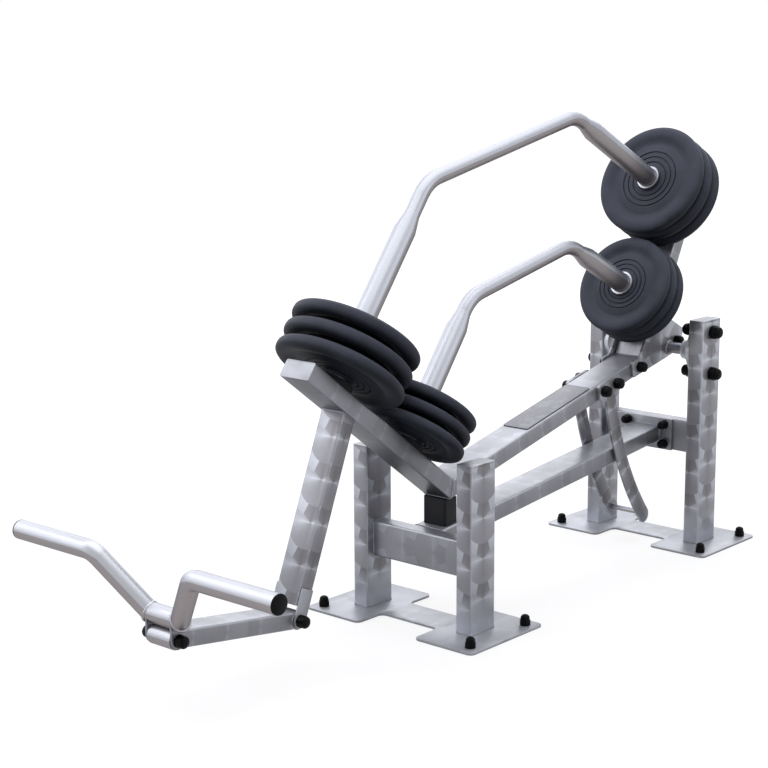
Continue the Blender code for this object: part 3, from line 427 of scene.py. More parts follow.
def outline_path(name: str, points: Sequence[Vector], closed: bool) -> Object:
    """A line drawn by extruding one vertex from point to point.

    Args:
        name: the object's name.
        points: the line's points.
        closed: True to return to the first point.

    Returns:
        The line as a mesh of edges.
    """
    deselect()
    bpy.ops.mesh.primitive_plane_add(size=0.01, location=points[0])
    piece = named(name)
    with editing(piece):
        bpy.ops.mesh.select_mode(type="VERT")
        bpy.ops.mesh.merge(type="CENTER")
        here = points[0]
        for point in [*points[1:], *(points[:1] if closed else [])]:
            bpy.ops.mesh.extrude_vertices_move(TRANSFORM_OT_translate={"value": point - here})
            here = point
        bpy.ops.mesh.select_all(action="SELECT")
        bpy.ops.mesh.remove_doubles(threshold=MERGE_DISTANCE)
    return piece


def plate(name: str, outline: Sequence[Vector], thickness: float, corner: float, edge: float) -> Object:
    """A flat plate drawn in local XY and extruded along local Z.

    Args:
        name: the object's name.
        outline: corners in order, as vectors with Z at 0.
        thickness: the plate's thickness.
        corner: radius of its sharp outline corners, or 0.
        edge: width of the rounding along its rims.

    Returns:
        The plate on the bench.
    """
    piece = outline_path(name, outline, True)
    with editing(piece):
        bpy.ops.mesh.edge_face_add()
        bpy.ops.mesh.extrude_region_move(TRANSFORM_OT_translate={"value": (0.0, 0.0, thickness)})
        bpy.ops.mesh.select_all(action="SELECT")
        bpy.ops.mesh.normals_make_consistent(inside=False)
    if corner > 0.0:
        round_edges(piece, corner, 6, lambda found: is_sharp(found) and runs_along(found, UPWARD))

    def on_rim(found: bmesh.types.BMEdge) -> bool:
        """Whether the edge bounds the plate's upper or lower face."""
        return is_sharp(found) and not runs_along(found, UPWARD)
    round_edges(piece, edge, 2, on_rim)
    return piece


def turned(name: str, sides: int, profile: Sequence[tuple[float, float]], bored: bool = False) -> Object:
    """A shape turned about local Z, drawn by extruding and resizing a circle.

    Args:
        name: the object's name.
        sides: steps round the axis.
        profile: (radius, height) points; a bored shape's profile closes on its first point.
        bored: True for a ring, False for a solid with flat ends.

    Returns:
        The shape on the bench.
    """
    deselect()
    radius, height = profile[0]
    bpy.ops.mesh.primitive_circle_add(vertices=sides, radius=radius, location=(0.0, 0.0, height),
                                      fill_type="NOTHING" if bored else "NGON")
    piece = named(name)
    with editing(piece):
        for wide, high in [*profile[1:], *(profile[:1] if bored else [])]:
            bpy.ops.mesh.extrude_region_move(TRANSFORM_OT_translate={"value": (0.0, 0.0, high - height)})
            share = wide / radius
            if abs(share - 1.0) > 1e-9:
                bpy.ops.transform.resize(value=(share, share, 1.0), center_override=(0.0, 0.0, high))
            radius, height = wide, high
    return closed_up(piece)


def pipe(name: str, points: Sequence[Vector], radii: Sequence[float], closed: bool, sides: int) -> Object:
    """A round bar along a line, made from a drawn path with a round bevel.

    Args:
        name: the object's name.
        points: the middle line.
        radii: the bar's radius at each point.
        closed: True for a ring.
        sides: half of the bevel's steps round the bar.

    Returns:
        The bar as a mesh.
    """
    path = outline_path(name, points, closed)
    take(path)
    bpy.ops.object.convert(target="CURVE")
    curve = bpy.context.active_object.data
    curve.dimensions = "3D"
    curve.bevel_depth = 1.0
    curve.bevel_resolution = sides
    curve.use_fill_caps = not closed
    curve.twist_mode = "MINIMUM"
    spline = curve.splines[0]
    if (spline.points[0].co.to_3d() - points[0]).length > (spline.points[-1].co.to_3d() - points[0]).length:
        radii = list(reversed(radii))
    for knot, radius in zip(spline.points, radii):
        knot.radius = radius
    bpy.ops.object.convert(target="MESH")
    return closed_up(named(name))


def arc(corner: Vector, before: Vector, after: Vector, radius: float, steps: int) -> list[Vector]:
    """Points of the arc that rounds a corner between two unit directions leaving it.

    Args:
        corner: the sharp corner.
        before: direction back along the path.
        after: direction on along the path.
        radius: the arc's radius.
        steps: number of steps.

    Returns:
        The arc's points in order.
    """
    half = before.angle(after) / 2
    middle = corner + (before + after).normalized() * (radius / math.sin(half))
    start = corner + before * (radius / math.tan(half)) - middle
    finish = corner + after * (radius / math.tan(half)) - middle
    turn = start.angle(finish)
    points = []
    for step in range(steps + 1):
        share = step / steps
        spoke = start * math.sin((1 - share) * turn) + finish * math.sin(share * turn)
        points.append(middle + spoke / math.sin(turn))
    return points


def meet(point: Vector, direction: Vector, plane_point: Vector, plane_normal: Vector) -> Vector:
    """Where the line through a point meets a plane."""
    return point + direction * (plane_normal.dot(plane_point - point) / plane_normal.dot(direction))


def heading(angle: float) -> Vector:
    """Unit vector in the middle plane that rises at the angle from +Y."""
    return Vector((0.0, math.cos(angle), math.sin(angle)))


def square_to(direction: Vector) -> Vector:
    """A direction in the middle plane turned a quarter turn upwards."""
    return Vector((0.0, -direction.z, direction.y))


def rectangle(half_x: float, half_y: float) -> list[Vector]:
    """The corners of a rectangle round the origin of local XY, from the third quarter round."""
    return [Vector((sx * half_x, sy * half_y, 0.0)) for sx, sy in ((-1, -1), (1, -1), (1, 1), (-1, 1))]


def spokes(middle: Vector, radius: float, start: float, sweep: float, steps: int) -> list[Vector]:
    """Points of an arc in the middle plane.

    Args:
        middle: the arc's centre.
        radius: the arc's radius.
        start: heading of the first point.
        sweep: angle that the arc spans.
        steps: number of steps.

    Returns:
        The arc's points in order.
    """
    return [middle + heading(start + sweep * step / steps) * radius for step in range(steps + 1)]


def chamfered(radius: float, low: float, high: float, edge: float) -> list[tuple[float, float]]:
    """The profile of a round wall whose two rims are broken.

    Args:
        radius: the wall's radius.
        low: height of its lower rim.
        high: height of its upper rim.
        edge: how far the rims are broken; below 0 for the wall of a bore.

    Returns:
        The (radius, height) points.
    """
    inset = abs(edge)
    return [(radius - edge, low), (radius, low + inset), (radius, high - inset), (radius - edge, high)]


def section_loop(size: tuple[float, float], place: Matrix, point: Vector, normal: Vector) -> list[Vector]:
    """The outline of a rectangular tube where a plane cuts it.

    Args:
        size: width and depth of the tube.
        place: the tube's axes.
        point: a point of the plane.
        normal: the plane's normal.

    Returns:
        The outline's points in world space.
    """
    along = (place.to_3x3() @ UPWARD).normalized()
    corners = rectangle(size[0] / 2 - TUBE_CORNER, size[1] / 2 - TUBE_CORNER)
    points = []
    for quarter in range(4):
        for step in range(4):
            angle = (quarter + step / 3) * math.pi / 2
            spot = corners[quarter - 2] + Vector((math.cos(angle), math.sin(angle), 0.0)) * TUBE_CORNER
            points.append(meet(place @ spot, along, point, normal))
    return points


def ring_loop(middle: Vector, axis: Vector, radius: float, normal: Vector) -> list[Vector]:
    """A circle round an axis, or the outline of a round tube where a slanted plane cuts it.

    Args:
        middle: the circle's middle.
        axis: unit direction of the axis.
        radius: the circle's radius.
        normal: normal of the plane, the axis itself for a circle.

    Returns:
        The circle's points.
    """
    side = axis.orthogonal().normalized()
    other = axis.cross(side)
    points = []
    for step in range(36):
        angle = 2 * math.pi * step / 36
        spot = middle + (side * math.cos(angle) + other * math.sin(angle)) * radius
        points.append(meet(spot, axis, middle, normal))
    return points


def mark_facing(piece: Object) -> None:
    """Write how far each corner of the shaded mesh looks up, from -1 to 1, which the materials read for
    their painted light, shade and reflection.
    """
    mark = piece.data.attributes.new("upward", "FLOAT", "CORNER")
    for index, normal in enumerate(piece.data.corner_normals):
        mark.data[index].value = normal.vector.z


def hand_over(piece: Object, material: Material, body: str, slot: Slot, *nodes: str) -> None:
    """Dress a finished piece, shade it and tie it to its CAD body.

    Args:
        piece: the finished object.
        material: its finish.
        body: the CAD body that it rides on.
        slot: the record's material slot that the piece belongs to; steel, tube and disc pieces get the
            upward mark.
        nodes: the CAD nodes that it stands for.
    """
    take(piece)
    piece.data.materials.clear()
    piece.data.materials.append(material)
    bpy.ops.object.shade_smooth_by_angle(angle=SMOOTH_ANGLE)
    if slot in (Slot.STEEL, Slot.TUBE, Slot.DISC):
        mark_facing(piece)
    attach(piece, body)
    if nodes:
        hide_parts(*nodes)
    count = sum(len(face.vertices) - 2 for face in piece.data.polygons)
    LOG.info("%s: %d triangles, rides on %s", piece.name, count, body)


# Finishes

def linear(code: str) -> tuple[float, float, float, float]:
    """A linear RGBA colour from an sRGB hex code such as #8E929C."""
    values = [int(code[index:index + 2], 16) / 255 for index in (1, 3, 5)]
    levels = [v / 12.92 if v <= 0.04045 else ((v + 0.055) / 1.055) ** 2.4 for v in values]
    return (levels[0], levels[1], levels[2], 1.0)


def add_node(tree: NodeTree, kind: str, settings: Optional[dict] = None,
             inputs: Sequence | dict = (), stops: Sequence[tuple[float, str]] = ()) -> Node:
    """Add a shader node with its settings, values, links and ramp colours.

    Args:
        tree: the node tree.
        kind: the node's type name after ShaderNode.
        settings: properties of the node.
        inputs: values, nodes or sockets, in order or by input name or number.
        stops: a colour ramp's places and colours.

    Returns:
        The node.
    """
    node = tree.nodes.new(f"ShaderNode{kind}")
    for name, value in (settings or {}).items():
        setattr(node, name, value)
    for name, value in (inputs if isinstance(inputs, dict) else dict(enumerate(inputs))).items():
        value = value.outputs[0] if isinstance(value, Node) else value
        if isinstance(value, NodeSocket):
            tree.links.new(value, node.inputs[name])
        else:
            node.inputs[name].default_value = value
    for number, (place, code) in enumerate(stops):
        elements = node.color_ramp.elements
        element = elements[number] if number < 2 else elements.new(place)
        element.position = place
        element.color = linear(code)
    return node


def new_material(name: str) -> tuple[Material, NodeTree]:
    """An empty node material and its tree."""
    material = bpy.data.materials.new(name)
    material.use_nodes = True
    material.node_tree.nodes.clear()
    return material, material.node_tree


def close_material(tree: NodeTree, inputs: dict) -> None:
    """End a material with its Principled shader and output."""
    shader = add_node(tree, "BsdfPrincipled", None, inputs)
    add_node(tree, "OutputMaterial", None, {"Surface": shader})


MULTIPLY = {"operation": "MULTIPLY"}
MULTIPLY_ADD = {"operation": "MULTIPLY_ADD"}
COLOUR_MIX = {"data_type": "RGBA", "clamp_factor": True}
# How much the roughness changes from place to place
ROUGHNESS_CHANGE = 0.12
# Painted sheen round a grinding spot: colours that stand in for light mirrored by its grinding, from
# straight down past the level streak's painted highlight to straight up
NEAR_PAINTED_SHEEN = ((0.0, "#7F7E83"), (1.0, "#6B696E"), (0.10, "#86858B"), (0.25, "#8D8E94"), (0.38, "#9A9BA2"),
             (0.44, "#A9ABB3"), (0.50, "#BEC1CA"), (0.56, "#ABADB5"), (0.65, "#9A9AA0"), (0.70, "#807E83"),
             (0.85, "#78767B"))
FAR_PAINTED_SHEEN = ((0.0, "#87868B"), (1.0, "#B0B3BC"), (0.25, "#8D8E94"), (0.38, "#989AA1"), (0.44, "#A8AAB3"),
            (0.50, "#B3B6BF"), (0.56, "#A6A8B0"), (0.63, "#9D9FA6"), (0.68, "#ABADB6"), (0.80, "#B1B4BD"))
# Painted reflection on a polished tube: colours from its dull underside, which mirrors the ground, to its
# bright top, which mirrors the sky
TUBE_PAINTED_REFLECTION = ((0.0, "#9C9493"), (1.0, "#C1C2C8"), (0.40, "#969090"), (0.53, "#928F91"), (0.575, "#B3B5BC"),
              (0.80, "#B6B8BE"))


@dataclass(frozen=True)
class GroundSteel:
    """Stainless steel ground with a turning pad: rows of round spots that overlap like scales.

    Each spot's own grinding marks carry a painted sheen: a bright level streak as painted highlight, with a
    dark fan of painted shade over it between two pale ones.
    Faces that look up are painted lighter and those that look down darker, a painted highlight runs along
    the rounded long corners, and a post is paler at its foot, a painted reflection of the plate that it
    stands on.
    """

    name: str
    contrast: float
    plain: str
    # lift and bow are painted light and shade: the colour is scaled by 1 + lift·up + bow·up², so faces that
    # look up are lighter and those that look down darker
    lift: float
    bow: float
    # Colour of the painted highlight along the rounded long corners
    edge: str = "#B4B8C2"
    roughness: float = 0.40
    metallic: float = 0.62
    edge_tint: str = "#EEEFF1"
    line_width: float = 0.0022
    cloud_size: float = 0.11
    # Painted sheen: where the dark fan fades into the pale ones, and how far it leans
    dark_fan: tuple[float, float] = (0.0335, 0.0360)
    dark_fan_lean: float = 0.31
    # Painted reflection of the plate at a post's foot: the heights over which it fades out, its share and
    # its colour
    foot: tuple[float, float] = (0.030, 0.115)
    plate_reflection_share: float = 0.0
    plate_reflection_colour: str = "#C6C9D2"
    # How much less painted sheen the faces that look up or down show
    calm_when_level: float = 0.4
    darkest: float = 0.58
    spot_change: float = 0.12
    line_change: float = 0.16
    cloud_change: float = 0.44
    seed_step: float = 17.3
    # How strongly the painted corner highlight shows
    corner_share: float = 0.3
    bump: float = 0.12
    relief: float = 0.0004

    def spots(self, tree: NodeTree) -> tuple[Node, Node, Node, Node]:
        """The nodes that find the spot on top at each place of the UV map in metres.

        Args:
            tree: the node tree.

        Returns:
            The angle round the spot from 0 to 1, the distance from its middle, that from the dark fan's
            axis and the spot's number.
        """
        uv = add_node(tree, "UVMap", {"uv_map": GRAIN_MAP})
        split = add_node(tree, "SeparateXYZ", None, (uv,))
        across = split.outputs[1]
        share = add_node(tree, "Math", {"operation": "DIVIDE"}, (split, SPOT_PITCH))
        above = add_node(tree, "Math", {"operation": "CEIL"}, (share,))
        step = add_node(tree, "Math", MULTIPLY_ADD, (above, -SPOT_PITCH, split))
        aside = add_node(tree, "Math", MULTIPLY, (across, across))
        far = add_node(tree, "Math", MULTIPLY_ADD, (step, step, aside))
        missed = add_node(tree, "Math", {"operation": "GREATER_THAN"}, (far, SPOT_RADIUS ** 2))
        step = add_node(tree, "Math", MULTIPLY_ADD, (missed, SPOT_PITCH, step))
        number = add_node(tree, "Math", {"operation": "SUBTRACT"}, (above, missed))
        far = add_node(tree, "Math", MULTIPLY_ADD, (step, step, aside))
        radius = add_node(tree, "Math", {"operation": "SQRT"}, (far,))
        across = add_node(tree, "Math", {"operation": "ABSOLUTE"}, (across,))
        angle = add_node(tree, "Math", {"operation": "ARCTAN2"}, (step, across))
        angle = add_node(tree, "Math", MULTIPLY_ADD, (angle, 1 / math.pi, 0.5))
        beside = add_node(tree, "Math", MULTIPLY_ADD, (step, self.dark_fan_lean, across))
        return angle, radius, beside, number

    def build(self) -> Material:
        """Make the material.

        Returns:
            The material.
        """
        material, tree = new_material(self.name)
        angle, radius, beside, number = self.spots(tree)
        # Painted sheen: the spot's colours by angle stand in for light mirrored by its grinding marks
        near_painted_sheen = add_node(tree, "ValToRGB", None, (angle,), NEAR_PAINTED_SHEEN)
        painted_sheen = add_node(tree, "ValToRGB", None, (angle,), FAR_PAINTED_SHEEN)
        away = add_node(tree, "MapRange", None, (beside, *self.dark_fan))
        painted_sheen = add_node(tree, "Mix", COLOUR_MIX, {0: away, 6: near_painted_sheen, 7: painted_sheen}).outputs[2]
        # Faces that look up or down show less of the painted sheen
        upward = add_node(tree, "Attribute", {"attribute_name": "upward"}).outputs["Fac"]
        calm = add_node(tree, "Math", MULTIPLY, (upward, upward))
        keep = add_node(tree, "Math", MULTIPLY_ADD,
                        (calm, -self.calm_when_level * self.contrast, self.contrast))
        colour = add_node(tree, "Mix", COLOUR_MIX, {0: keep, 6: linear(self.plain), 7: painted_sheen})
        chance = add_node(tree, "TexWhiteNoise", {"noise_dimensions": "1D"}, {"W": number})
        seed = add_node(tree, "Math", MULTIPLY, (number, self.seed_step))
        rings = add_node(tree, "Math", MULTIPLY_ADD, (radius, 1 / self.line_width, seed))
        lines = add_node(tree, "TexNoise", {"noise_dimensions": "1D"},
                         {"W": rings, "Scale": 1.0, "Detail": 2.0})
        place = add_node(tree, "TexCoord").outputs["Object"]
        cloud = add_node(tree, "TexNoise", None,
                         {"Vector": place, "Scale": 1 / self.cloud_size, "Detail": 3.0})
        value = add_node(tree, "Math", MULTIPLY_ADD, (chance, self.spot_change, self.darkest))
        value = add_node(tree, "Math", MULTIPLY_ADD, (lines, self.line_change, value))
        value = add_node(tree, "Math", MULTIPLY_ADD, (cloud, self.cloud_change, value))
        # Painted light and shade: faces that look up are made lighter and faces that look down darker
        painted_light_factor = add_node(tree, "Math", MULTIPLY_ADD, (upward, self.bow, self.lift))
        painted_light_factor = add_node(tree, "Math", MULTIPLY_ADD, (painted_light_factor, upward, 1.0))
        value = add_node(tree, "Math", MULTIPLY, (value, painted_light_factor))
        colour = add_node(tree, "VectorMath", {"operation": "SCALE"},
                          {0: colour.outputs[2], "Scale": value})
        # Painted reflection of the plate, paler towards a post's foot
        height = add_node(tree, "SeparateXYZ", None, (place,)).outputs[2]
        painted_plate_reflection = add_node(tree, "MapRange", None, (height, *self.foot, self.plate_reflection_share, 0.0))
        colour = add_node(tree, "Mix", COLOUR_MIX, {0: painted_plate_reflection, 6: colour, 7: linear(self.plate_reflection_colour)})
        # Painted highlight along the rounded long corners
        corner = add_node(tree, "Attribute", {"attribute_name": "corner"})
        corner = add_node(tree, "Math", MULTIPLY, (corner.outputs["Fac"], self.corner_share))
        colour = add_node(tree, "Mix", COLOUR_MIX, {0: corner, 6: colour.outputs[2], 7: linear(self.edge)})
        rough = add_node(tree, "Math", MULTIPLY_ADD,
                         (lines, ROUGHNESS_CHANGE, self.roughness - ROUGHNESS_CHANGE / 2))
        bump = add_node(tree, "Bump", None,
                        {"Strength": self.bump, "Distance": self.relief, "Height": lines})
        close_material(tree, {"Base Color": colour.outputs[2], "Metallic": self.metallic,
                              "Roughness": rough, "Normal": bump, "Specular Tint": linear(self.edge_tint)})
        return material


@dataclass(frozen=True)
class MottledMetal:
    """Metal with a soft mottle: polished tube, cast housing or weld metal.

    A polished tube has a painted reflection: it is bright along its top and dull below.
    """

    name: str
    dark: str
    light: str
    roughness: float
    metallic: float
    mottle: float
    grain: float
    relief: float
    # Colours of the painted reflection, from faces that look down to faces that look up; none for no painted
    # reflection
    painted_reflection_colours: tuple = ()
    edge_tint: str = "#CDCFD4"
    fine_share: float = 0.4
    bump: float = 0.3

    def build(self) -> Material:
        """Make the material from noise at the mottle's and the grain's sizes in metres.

        Returns:
            The material.
        """
        material, tree = new_material(self.name)
        place = add_node(tree, "TexCoord").outputs["Object"]
        cloud = add_node(tree, "TexNoise", None, {"Vector": place, "Scale": 1 / self.mottle, "Detail": 3.0})
        fine = add_node(tree, "TexNoise", None, {"Vector": place, "Scale": 1 / self.grain, "Detail": 2.0})
        share = add_node(tree, "Math", MULTIPLY_ADD, (fine, self.fine_share, -self.fine_share / 2))
        share = add_node(tree, "Math", {"operation": "ADD"}, (cloud, share))
        colour = add_node(tree, "Mix", COLOUR_MIX, {0: share, 6: linear(self.dark), 7: linear(self.light)})
        # Painted reflection: the colour is multiplied by dull stops on faces that look down and bright ones
        # on faces that look up
        if self.painted_reflection_colours:
            upward = add_node(tree, "Attribute", {"attribute_name": "upward"}).outputs["Fac"]
            upward = add_node(tree, "Math", MULTIPLY_ADD, (upward, 0.5, 0.5))
            tint = add_node(tree, "ValToRGB", None, (upward,), self.painted_reflection_colours)
            colour = add_node(tree, "Mix", {**COLOUR_MIX, "blend_type": "MULTIPLY"},
                              {0: 1.0, 6: colour.outputs[2], 7: tint})
        # A quarter smoother in the cloud's dark places and a quarter rougher in its light ones
        rough = add_node(tree, "Math", MULTIPLY_ADD, (cloud, self.roughness * 0.5, self.roughness * 0.75))
        bump = add_node(tree, "Bump", None,
                        {"Strength": self.bump, "Distance": self.relief, "Height": fine})
        close_material(tree, {"Base Color": colour.outputs[2], "Metallic": self.metallic,
                              "Roughness": rough, "Normal": bump, "Specular Tint": linear(self.edge_tint)})
        return material


@dataclass(frozen=True)
class Rubber:
    """Moulded rubber or plastic with a fine pebbled skin, a little dust and painted light that makes faces
    looking up lighter.
    """

    name: str
    dark: str
    light: str
    roughness: float
    grain: float
    relief: float
    specular: float = 0.5
    dust_size: float = 0.07
    # Painted light: how much lighter faces that look up are
    painted_top_light: float = 0.75
    fine_share: float = 0.5
    bump: float = 0.35

    def build(self) -> Material:
        """Make the material from a coarse cloud of dust, a fine grain and painted light on faces that look
        up.

        Returns:
            The material.
        """
        material, tree = new_material(self.name)
        place = add_node(tree, "TexCoord").outputs["Object"]
        cloud = add_node(tree, "TexNoise", None,
                         {"Vector": place, "Scale": 1 / self.dust_size, "Detail": 4.0})
        fine = add_node(tree, "TexNoise", None, {"Vector": place, "Scale": 1 / self.grain, "Detail": 2.0})
        share = add_node(tree, "Math", MULTIPLY_ADD, (fine, self.fine_share, -self.fine_share / 2))
        share = add_node(tree, "Math", {"operation": "ADD"}, (cloud, share))
        # Painted light: faces that look up are made lighter
        upward = add_node(tree, "Attribute", {"attribute_name": "upward"}).outputs["Fac"]
        share = add_node(tree, "Math", MULTIPLY_ADD, (upward, self.painted_top_light, share))
        colour = add_node(tree, "Mix", COLOUR_MIX, {0: share, 6: linear(self.dark), 7: linear(self.light)})
        rough = add_node(tree, "Math", MULTIPLY_ADD,
                         (cloud, ROUGHNESS_CHANGE, self.roughness - ROUGHNESS_CHANGE / 2))
        bump = add_node(tree, "Bump", None,
                        {"Strength": self.bump, "Distance": self.relief, "Height": fine})
        close_material(tree, {"Base Color": colour.outputs[2], "Roughness": rough, "Normal": bump,
                              "Specular IOR Level": self.specular})
        return material


@dataclass(frozen=True)
class InfoSheet:
    """Anodised aluminium sheet, weathered pale in patches, with a dark line round its rim."""

    name: str = "anodised_aluminium_weathered"
    base: str = "#7B7C82"
    patch: str = "#96989E"
    rim: str = "#2A2D38"
    half_length: float = 0.160
    half_width: float = 0.045
    corner: float = 0.008
    line: float = 0.0022
    patch_size: float = 0.070
    patch_roughness: float = 0.68
    patch_edge: tuple[float, float] = (0.50, 0.60)
    fine_size: float = 0.0014
    fine_change: float = 1.2
    roughness: tuple[float, float] = (0.50, 0.15)
    metallic: float = 0.2
    bump: float = 0.2
    relief: float = 0.0002

    def build(self) -> Material:
        """Make the material from the plate's UV map in metres.

        Returns:
            The material.
        """
        material, tree = new_material(self.name)
        uv = add_node(tree, "UVMap", {"uv_map": GRAIN_MAP})
        size = add_node(tree, "VectorMath", {"operation": "ABSOLUTE"}, (uv,))
        inner = (self.half_width - self.corner, self.half_length - self.corner, 0.0)
        out = add_node(tree, "VectorMath", {"operation": "SUBTRACT"}, (size, inner))
        out = add_node(tree, "VectorMath", {"operation": "MAXIMUM"}, (out, (0.0, 0.0, 0.0)))
        reach = add_node(tree, "VectorMath", {"operation": "LENGTH"}, (out,)).outputs["Value"]
        rim = add_node(tree, "Math", {"operation": "GREATER_THAN"}, (reach, self.corner - self.line))
        place = add_node(tree, "TexCoord").outputs["Object"]
        cloud = add_node(tree, "TexNoise", None,
                         {"Vector": place, "Scale": 1 / self.patch_size, "Detail": 5.0,
                          "Roughness": self.patch_roughness})
        worn = add_node(tree, "MapRange", None, (cloud, *self.patch_edge))
        fine = add_node(tree, "TexNoise", None, {"Vector": place, "Scale": 1 / self.fine_size})
        fine = add_node(tree, "Math", MULTIPLY_ADD, (fine, self.fine_change, 0.1))
        worn = add_node(tree, "Math", MULTIPLY, (worn, fine))
        colour = add_node(tree, "Mix", COLOUR_MIX, {0: worn, 6: linear(self.base), 7: linear(self.patch)})
        colour = add_node(tree, "Mix", COLOUR_MIX, {0: rim, 6: colour.outputs[2], 7: linear(self.rim)})
        smooth, wear = self.roughness
        rough = add_node(tree, "Math", MULTIPLY_ADD, (worn, wear, smooth))
        bump = add_node(tree, "Bump", None,
                        {"Strength": self.bump, "Distance": self.relief, "Height": cloud})
        close_material(tree, {"Base Color": colour.outputs[2], "Metallic": self.metallic,
                              "Roughness": rough, "Normal": bump})
        return material


@dataclass
class Finishes:
    """One material for each finish of the machine."""

    # Steel has painted sheen, painted light and shade by facing and a painted corner highlight; the posts'
    # finish also has a painted reflection of the plate at their foot
    steel: Material = field(default_factory=lambda: GroundSteel(
        "stainless_steel_spot_ground_painted_sheen", 0.85, "#8A8B91", 0.26, -0.20, plate_reflection_share=0.8).build())
    level: Material = field(default_factory=lambda: GroundSteel(
        "stainless_steel_softly_ground_painted_sheen", 0.24, "#87888E", 0.60, -0.01).build())
    # Both tube finishes carry a painted reflection: bright along the top, dull below
    tube: Material = field(default_factory=lambda: MottledMetal(
        "stainless_tube_polished_painted_reflection", "#E8E9EB", "#F4F5F7", 0.41, 0.94, 0.09, 0.004, 0.000004, TUBE_PAINTED_REFLECTION,
        "#D8D9DD").build())
    grip: Material = field(default_factory=lambda: MottledMetal(
        "stainless_tube_hand_bright_painted_reflection", "#F2F2F4", "#FFFFFF", 0.40, 0.94, 0.09, 0.004, 0.000004,
        TUBE_PAINTED_REFLECTION).build())
    casting: Material = field(default_factory=lambda: MottledMetal(
        "cast_steel_painted_silver", "#C6C8CE", "#DCDEE3", 0.42, 0.4, 0.05, 0.0015, 0.0003).build())
    weld: Material = field(default_factory=lambda: MottledMetal(
        "stainless_weld_bead", "#7E7F86", "#A3A5AD", 0.45, 0.9, 0.012, 0.003, 0.0008).build())
    disc: Material = field(default_factory=lambda: Rubber(
        "disc_rubber_moulded", "#1B1D25", "#40434E", 0.62, 0.0018, 0.0004, 0.14).build())
    buffer: Material = field(default_factory=lambda: Rubber(
        "buffer_rubber_moulded", "#101116", "#191A20", 0.62, 0.0014, 0.0003, 0.25).build())
    cap: Material = field(default_factory=lambda: Rubber(
        "cap_polyethylene_moulded", "#020204", "#050609", 0.40, 0.0009, 0.0001, 0.08).build())
    plate: Material = field(default_factory=lambda: InfoSheet().build())


# Places worked out from the driving sizes

@dataclass
class Layout:
    """Places in the middle plane, from the same driving sizes as the CAD source."""

    base_length: float = 1.130
    hinge_height: float = 0.610
    arm_angle: float = math.radians(13.14)
    arm_top_over_hinge: float = 0.0228
    arm_length: float = 1.081
    beam_width: float = 0.100
    beam_depth: float = 0.050
    incline_angle: float = math.radians(36.74)
    incline_length: float = 0.666
    riser_angle: float = math.radians(62.8)
    riser_ahead: float = 0.100
    hanger_angle: float = math.radians(68.39)
    hanger_foot: float = 0.491
    hanger_drop: float = 0.526
    link_length: float = 0.406
    link_rise: float = math.radians(8.06)
    sleeve_over_pivot: float = 0.051
    handle_rise: float = 0.1565
    handle_lean: float = math.radians(25.6)

    def __post_init__(self) -> None:
        """Work out the shared points and directions."""
        self.hinge = Vector((0.0, self.base_length, self.hinge_height))
        self.back = heading(self.arm_angle)
        self.up = square_to(self.back)
        self.bend_top = self.hinge - self.back * self.arm_length + self.up * self.arm_top_over_hinge
        self.rise = heading(math.pi - self.incline_angle)
        self.over = heading(math.pi / 2 - self.incline_angle)
        self.mitre = (self.back - self.rise).normalized()
        inward = (self.back + self.rise).normalized()
        self.bend_middle = self.bend_top - inward * (self.beam_depth / 2 / inward.dot(self.up))
        self.bend_bottom = self.bend_top - inward * (self.beam_depth / inward.dot(self.up))
        self.riser_up = heading(self.riser_angle)
        self.riser_back = heading(self.riser_angle - math.pi / 2)
        self.riser_front = self.hinge - self.riser_back * (self.riser_ahead + self.beam_depth / 2)
        self.hanger_up = heading(self.hanger_angle)
        self.hanger_top = self.bend_bottom + self.rise * self.hanger_foot
        self.pivot = self.hanger_top - self.hanger_up * self.hanger_drop
        self.link_along = heading(math.pi - self.link_rise)
        self.handle_pivot = self.pivot + self.link_along * self.link_length
        self.sleeve = self.handle_pivot + UPWARD * self.sleeve_over_pivot
        self.grip = self.sleeve + heading(math.pi / 2 + self.handle_lean) * self.handle_rise

    def on_arm(self, forward: float, height: float) -> Vector:
        """A place given from the hinge, forward along the arm and square to it."""
        return self.hinge - self.back * forward + self.up * height

    @property
    def beam_size(self) -> tuple[float, float]:
        """Width and depth of the main tubes."""
        return (self.beam_width, self.beam_depth)


# Plates lie in the middle plane's directions: local X is +Y, local Y is +Z, local Z is +X
UPRIGHT_PLATE = Matrix(((0, 0, 1, 0), (1, 0, 0, 0), (0, 1, 0, 0), (0, 0, 0, 1)))
# A local Z axis laid along +X
ALONG_X = Matrix.Rotation(math.pi / 2, 4, "Y")


def upright_plate(name: str, points: Sequence[Vector], faces: tuple[float, float], side: int,
                  corner: float, edge: float, grain: Grain, turned_map: bool = False) -> Object:
    """A plate drawn in the middle plane and set on one side of the machine.

    Args:
        name: the object's name.
        points: its outline in the middle plane.
        faces: distances of its inner and outer face from the middle plane.
        side: 1 for the right side, -1 for the left.
        corner: radius of sharp outline corners.
        edge: rounding of its rims.
        grain: where the grinding spots lie.
        turned_map: True if the rows of spots run upwards.

    Returns:
        The plate in its place.
    """
    inner, outer = faces
    outline = [Vector((point.y, point.z, 0.0)) for point in points]
    piece = plate(name, outline, outer - inner, corner, edge)
    lay_flat_grain(piece, grain, turned_map)
    low = inner if side > 0 else -outer
    return put(piece, Matrix.Translation((low, 0.0, 0.0)) @ UPRIGHT_PLATE)


@dataclass
class CapSizes:
    """A bolt cap: a rounded six-sided body under a dome."""

    radius: float
    body: float
    dome: float
    length: float


SMALL_CAP = CapSizes(0.0182, 0.014, 0.0155, 0.0255)
NUT_CAP = CapSizes(0.0160, 0.016, 0.0125, 0.030)
LARGE_CAP = CapSizes(0.0222, 0.018, 0.0180, 0.035)


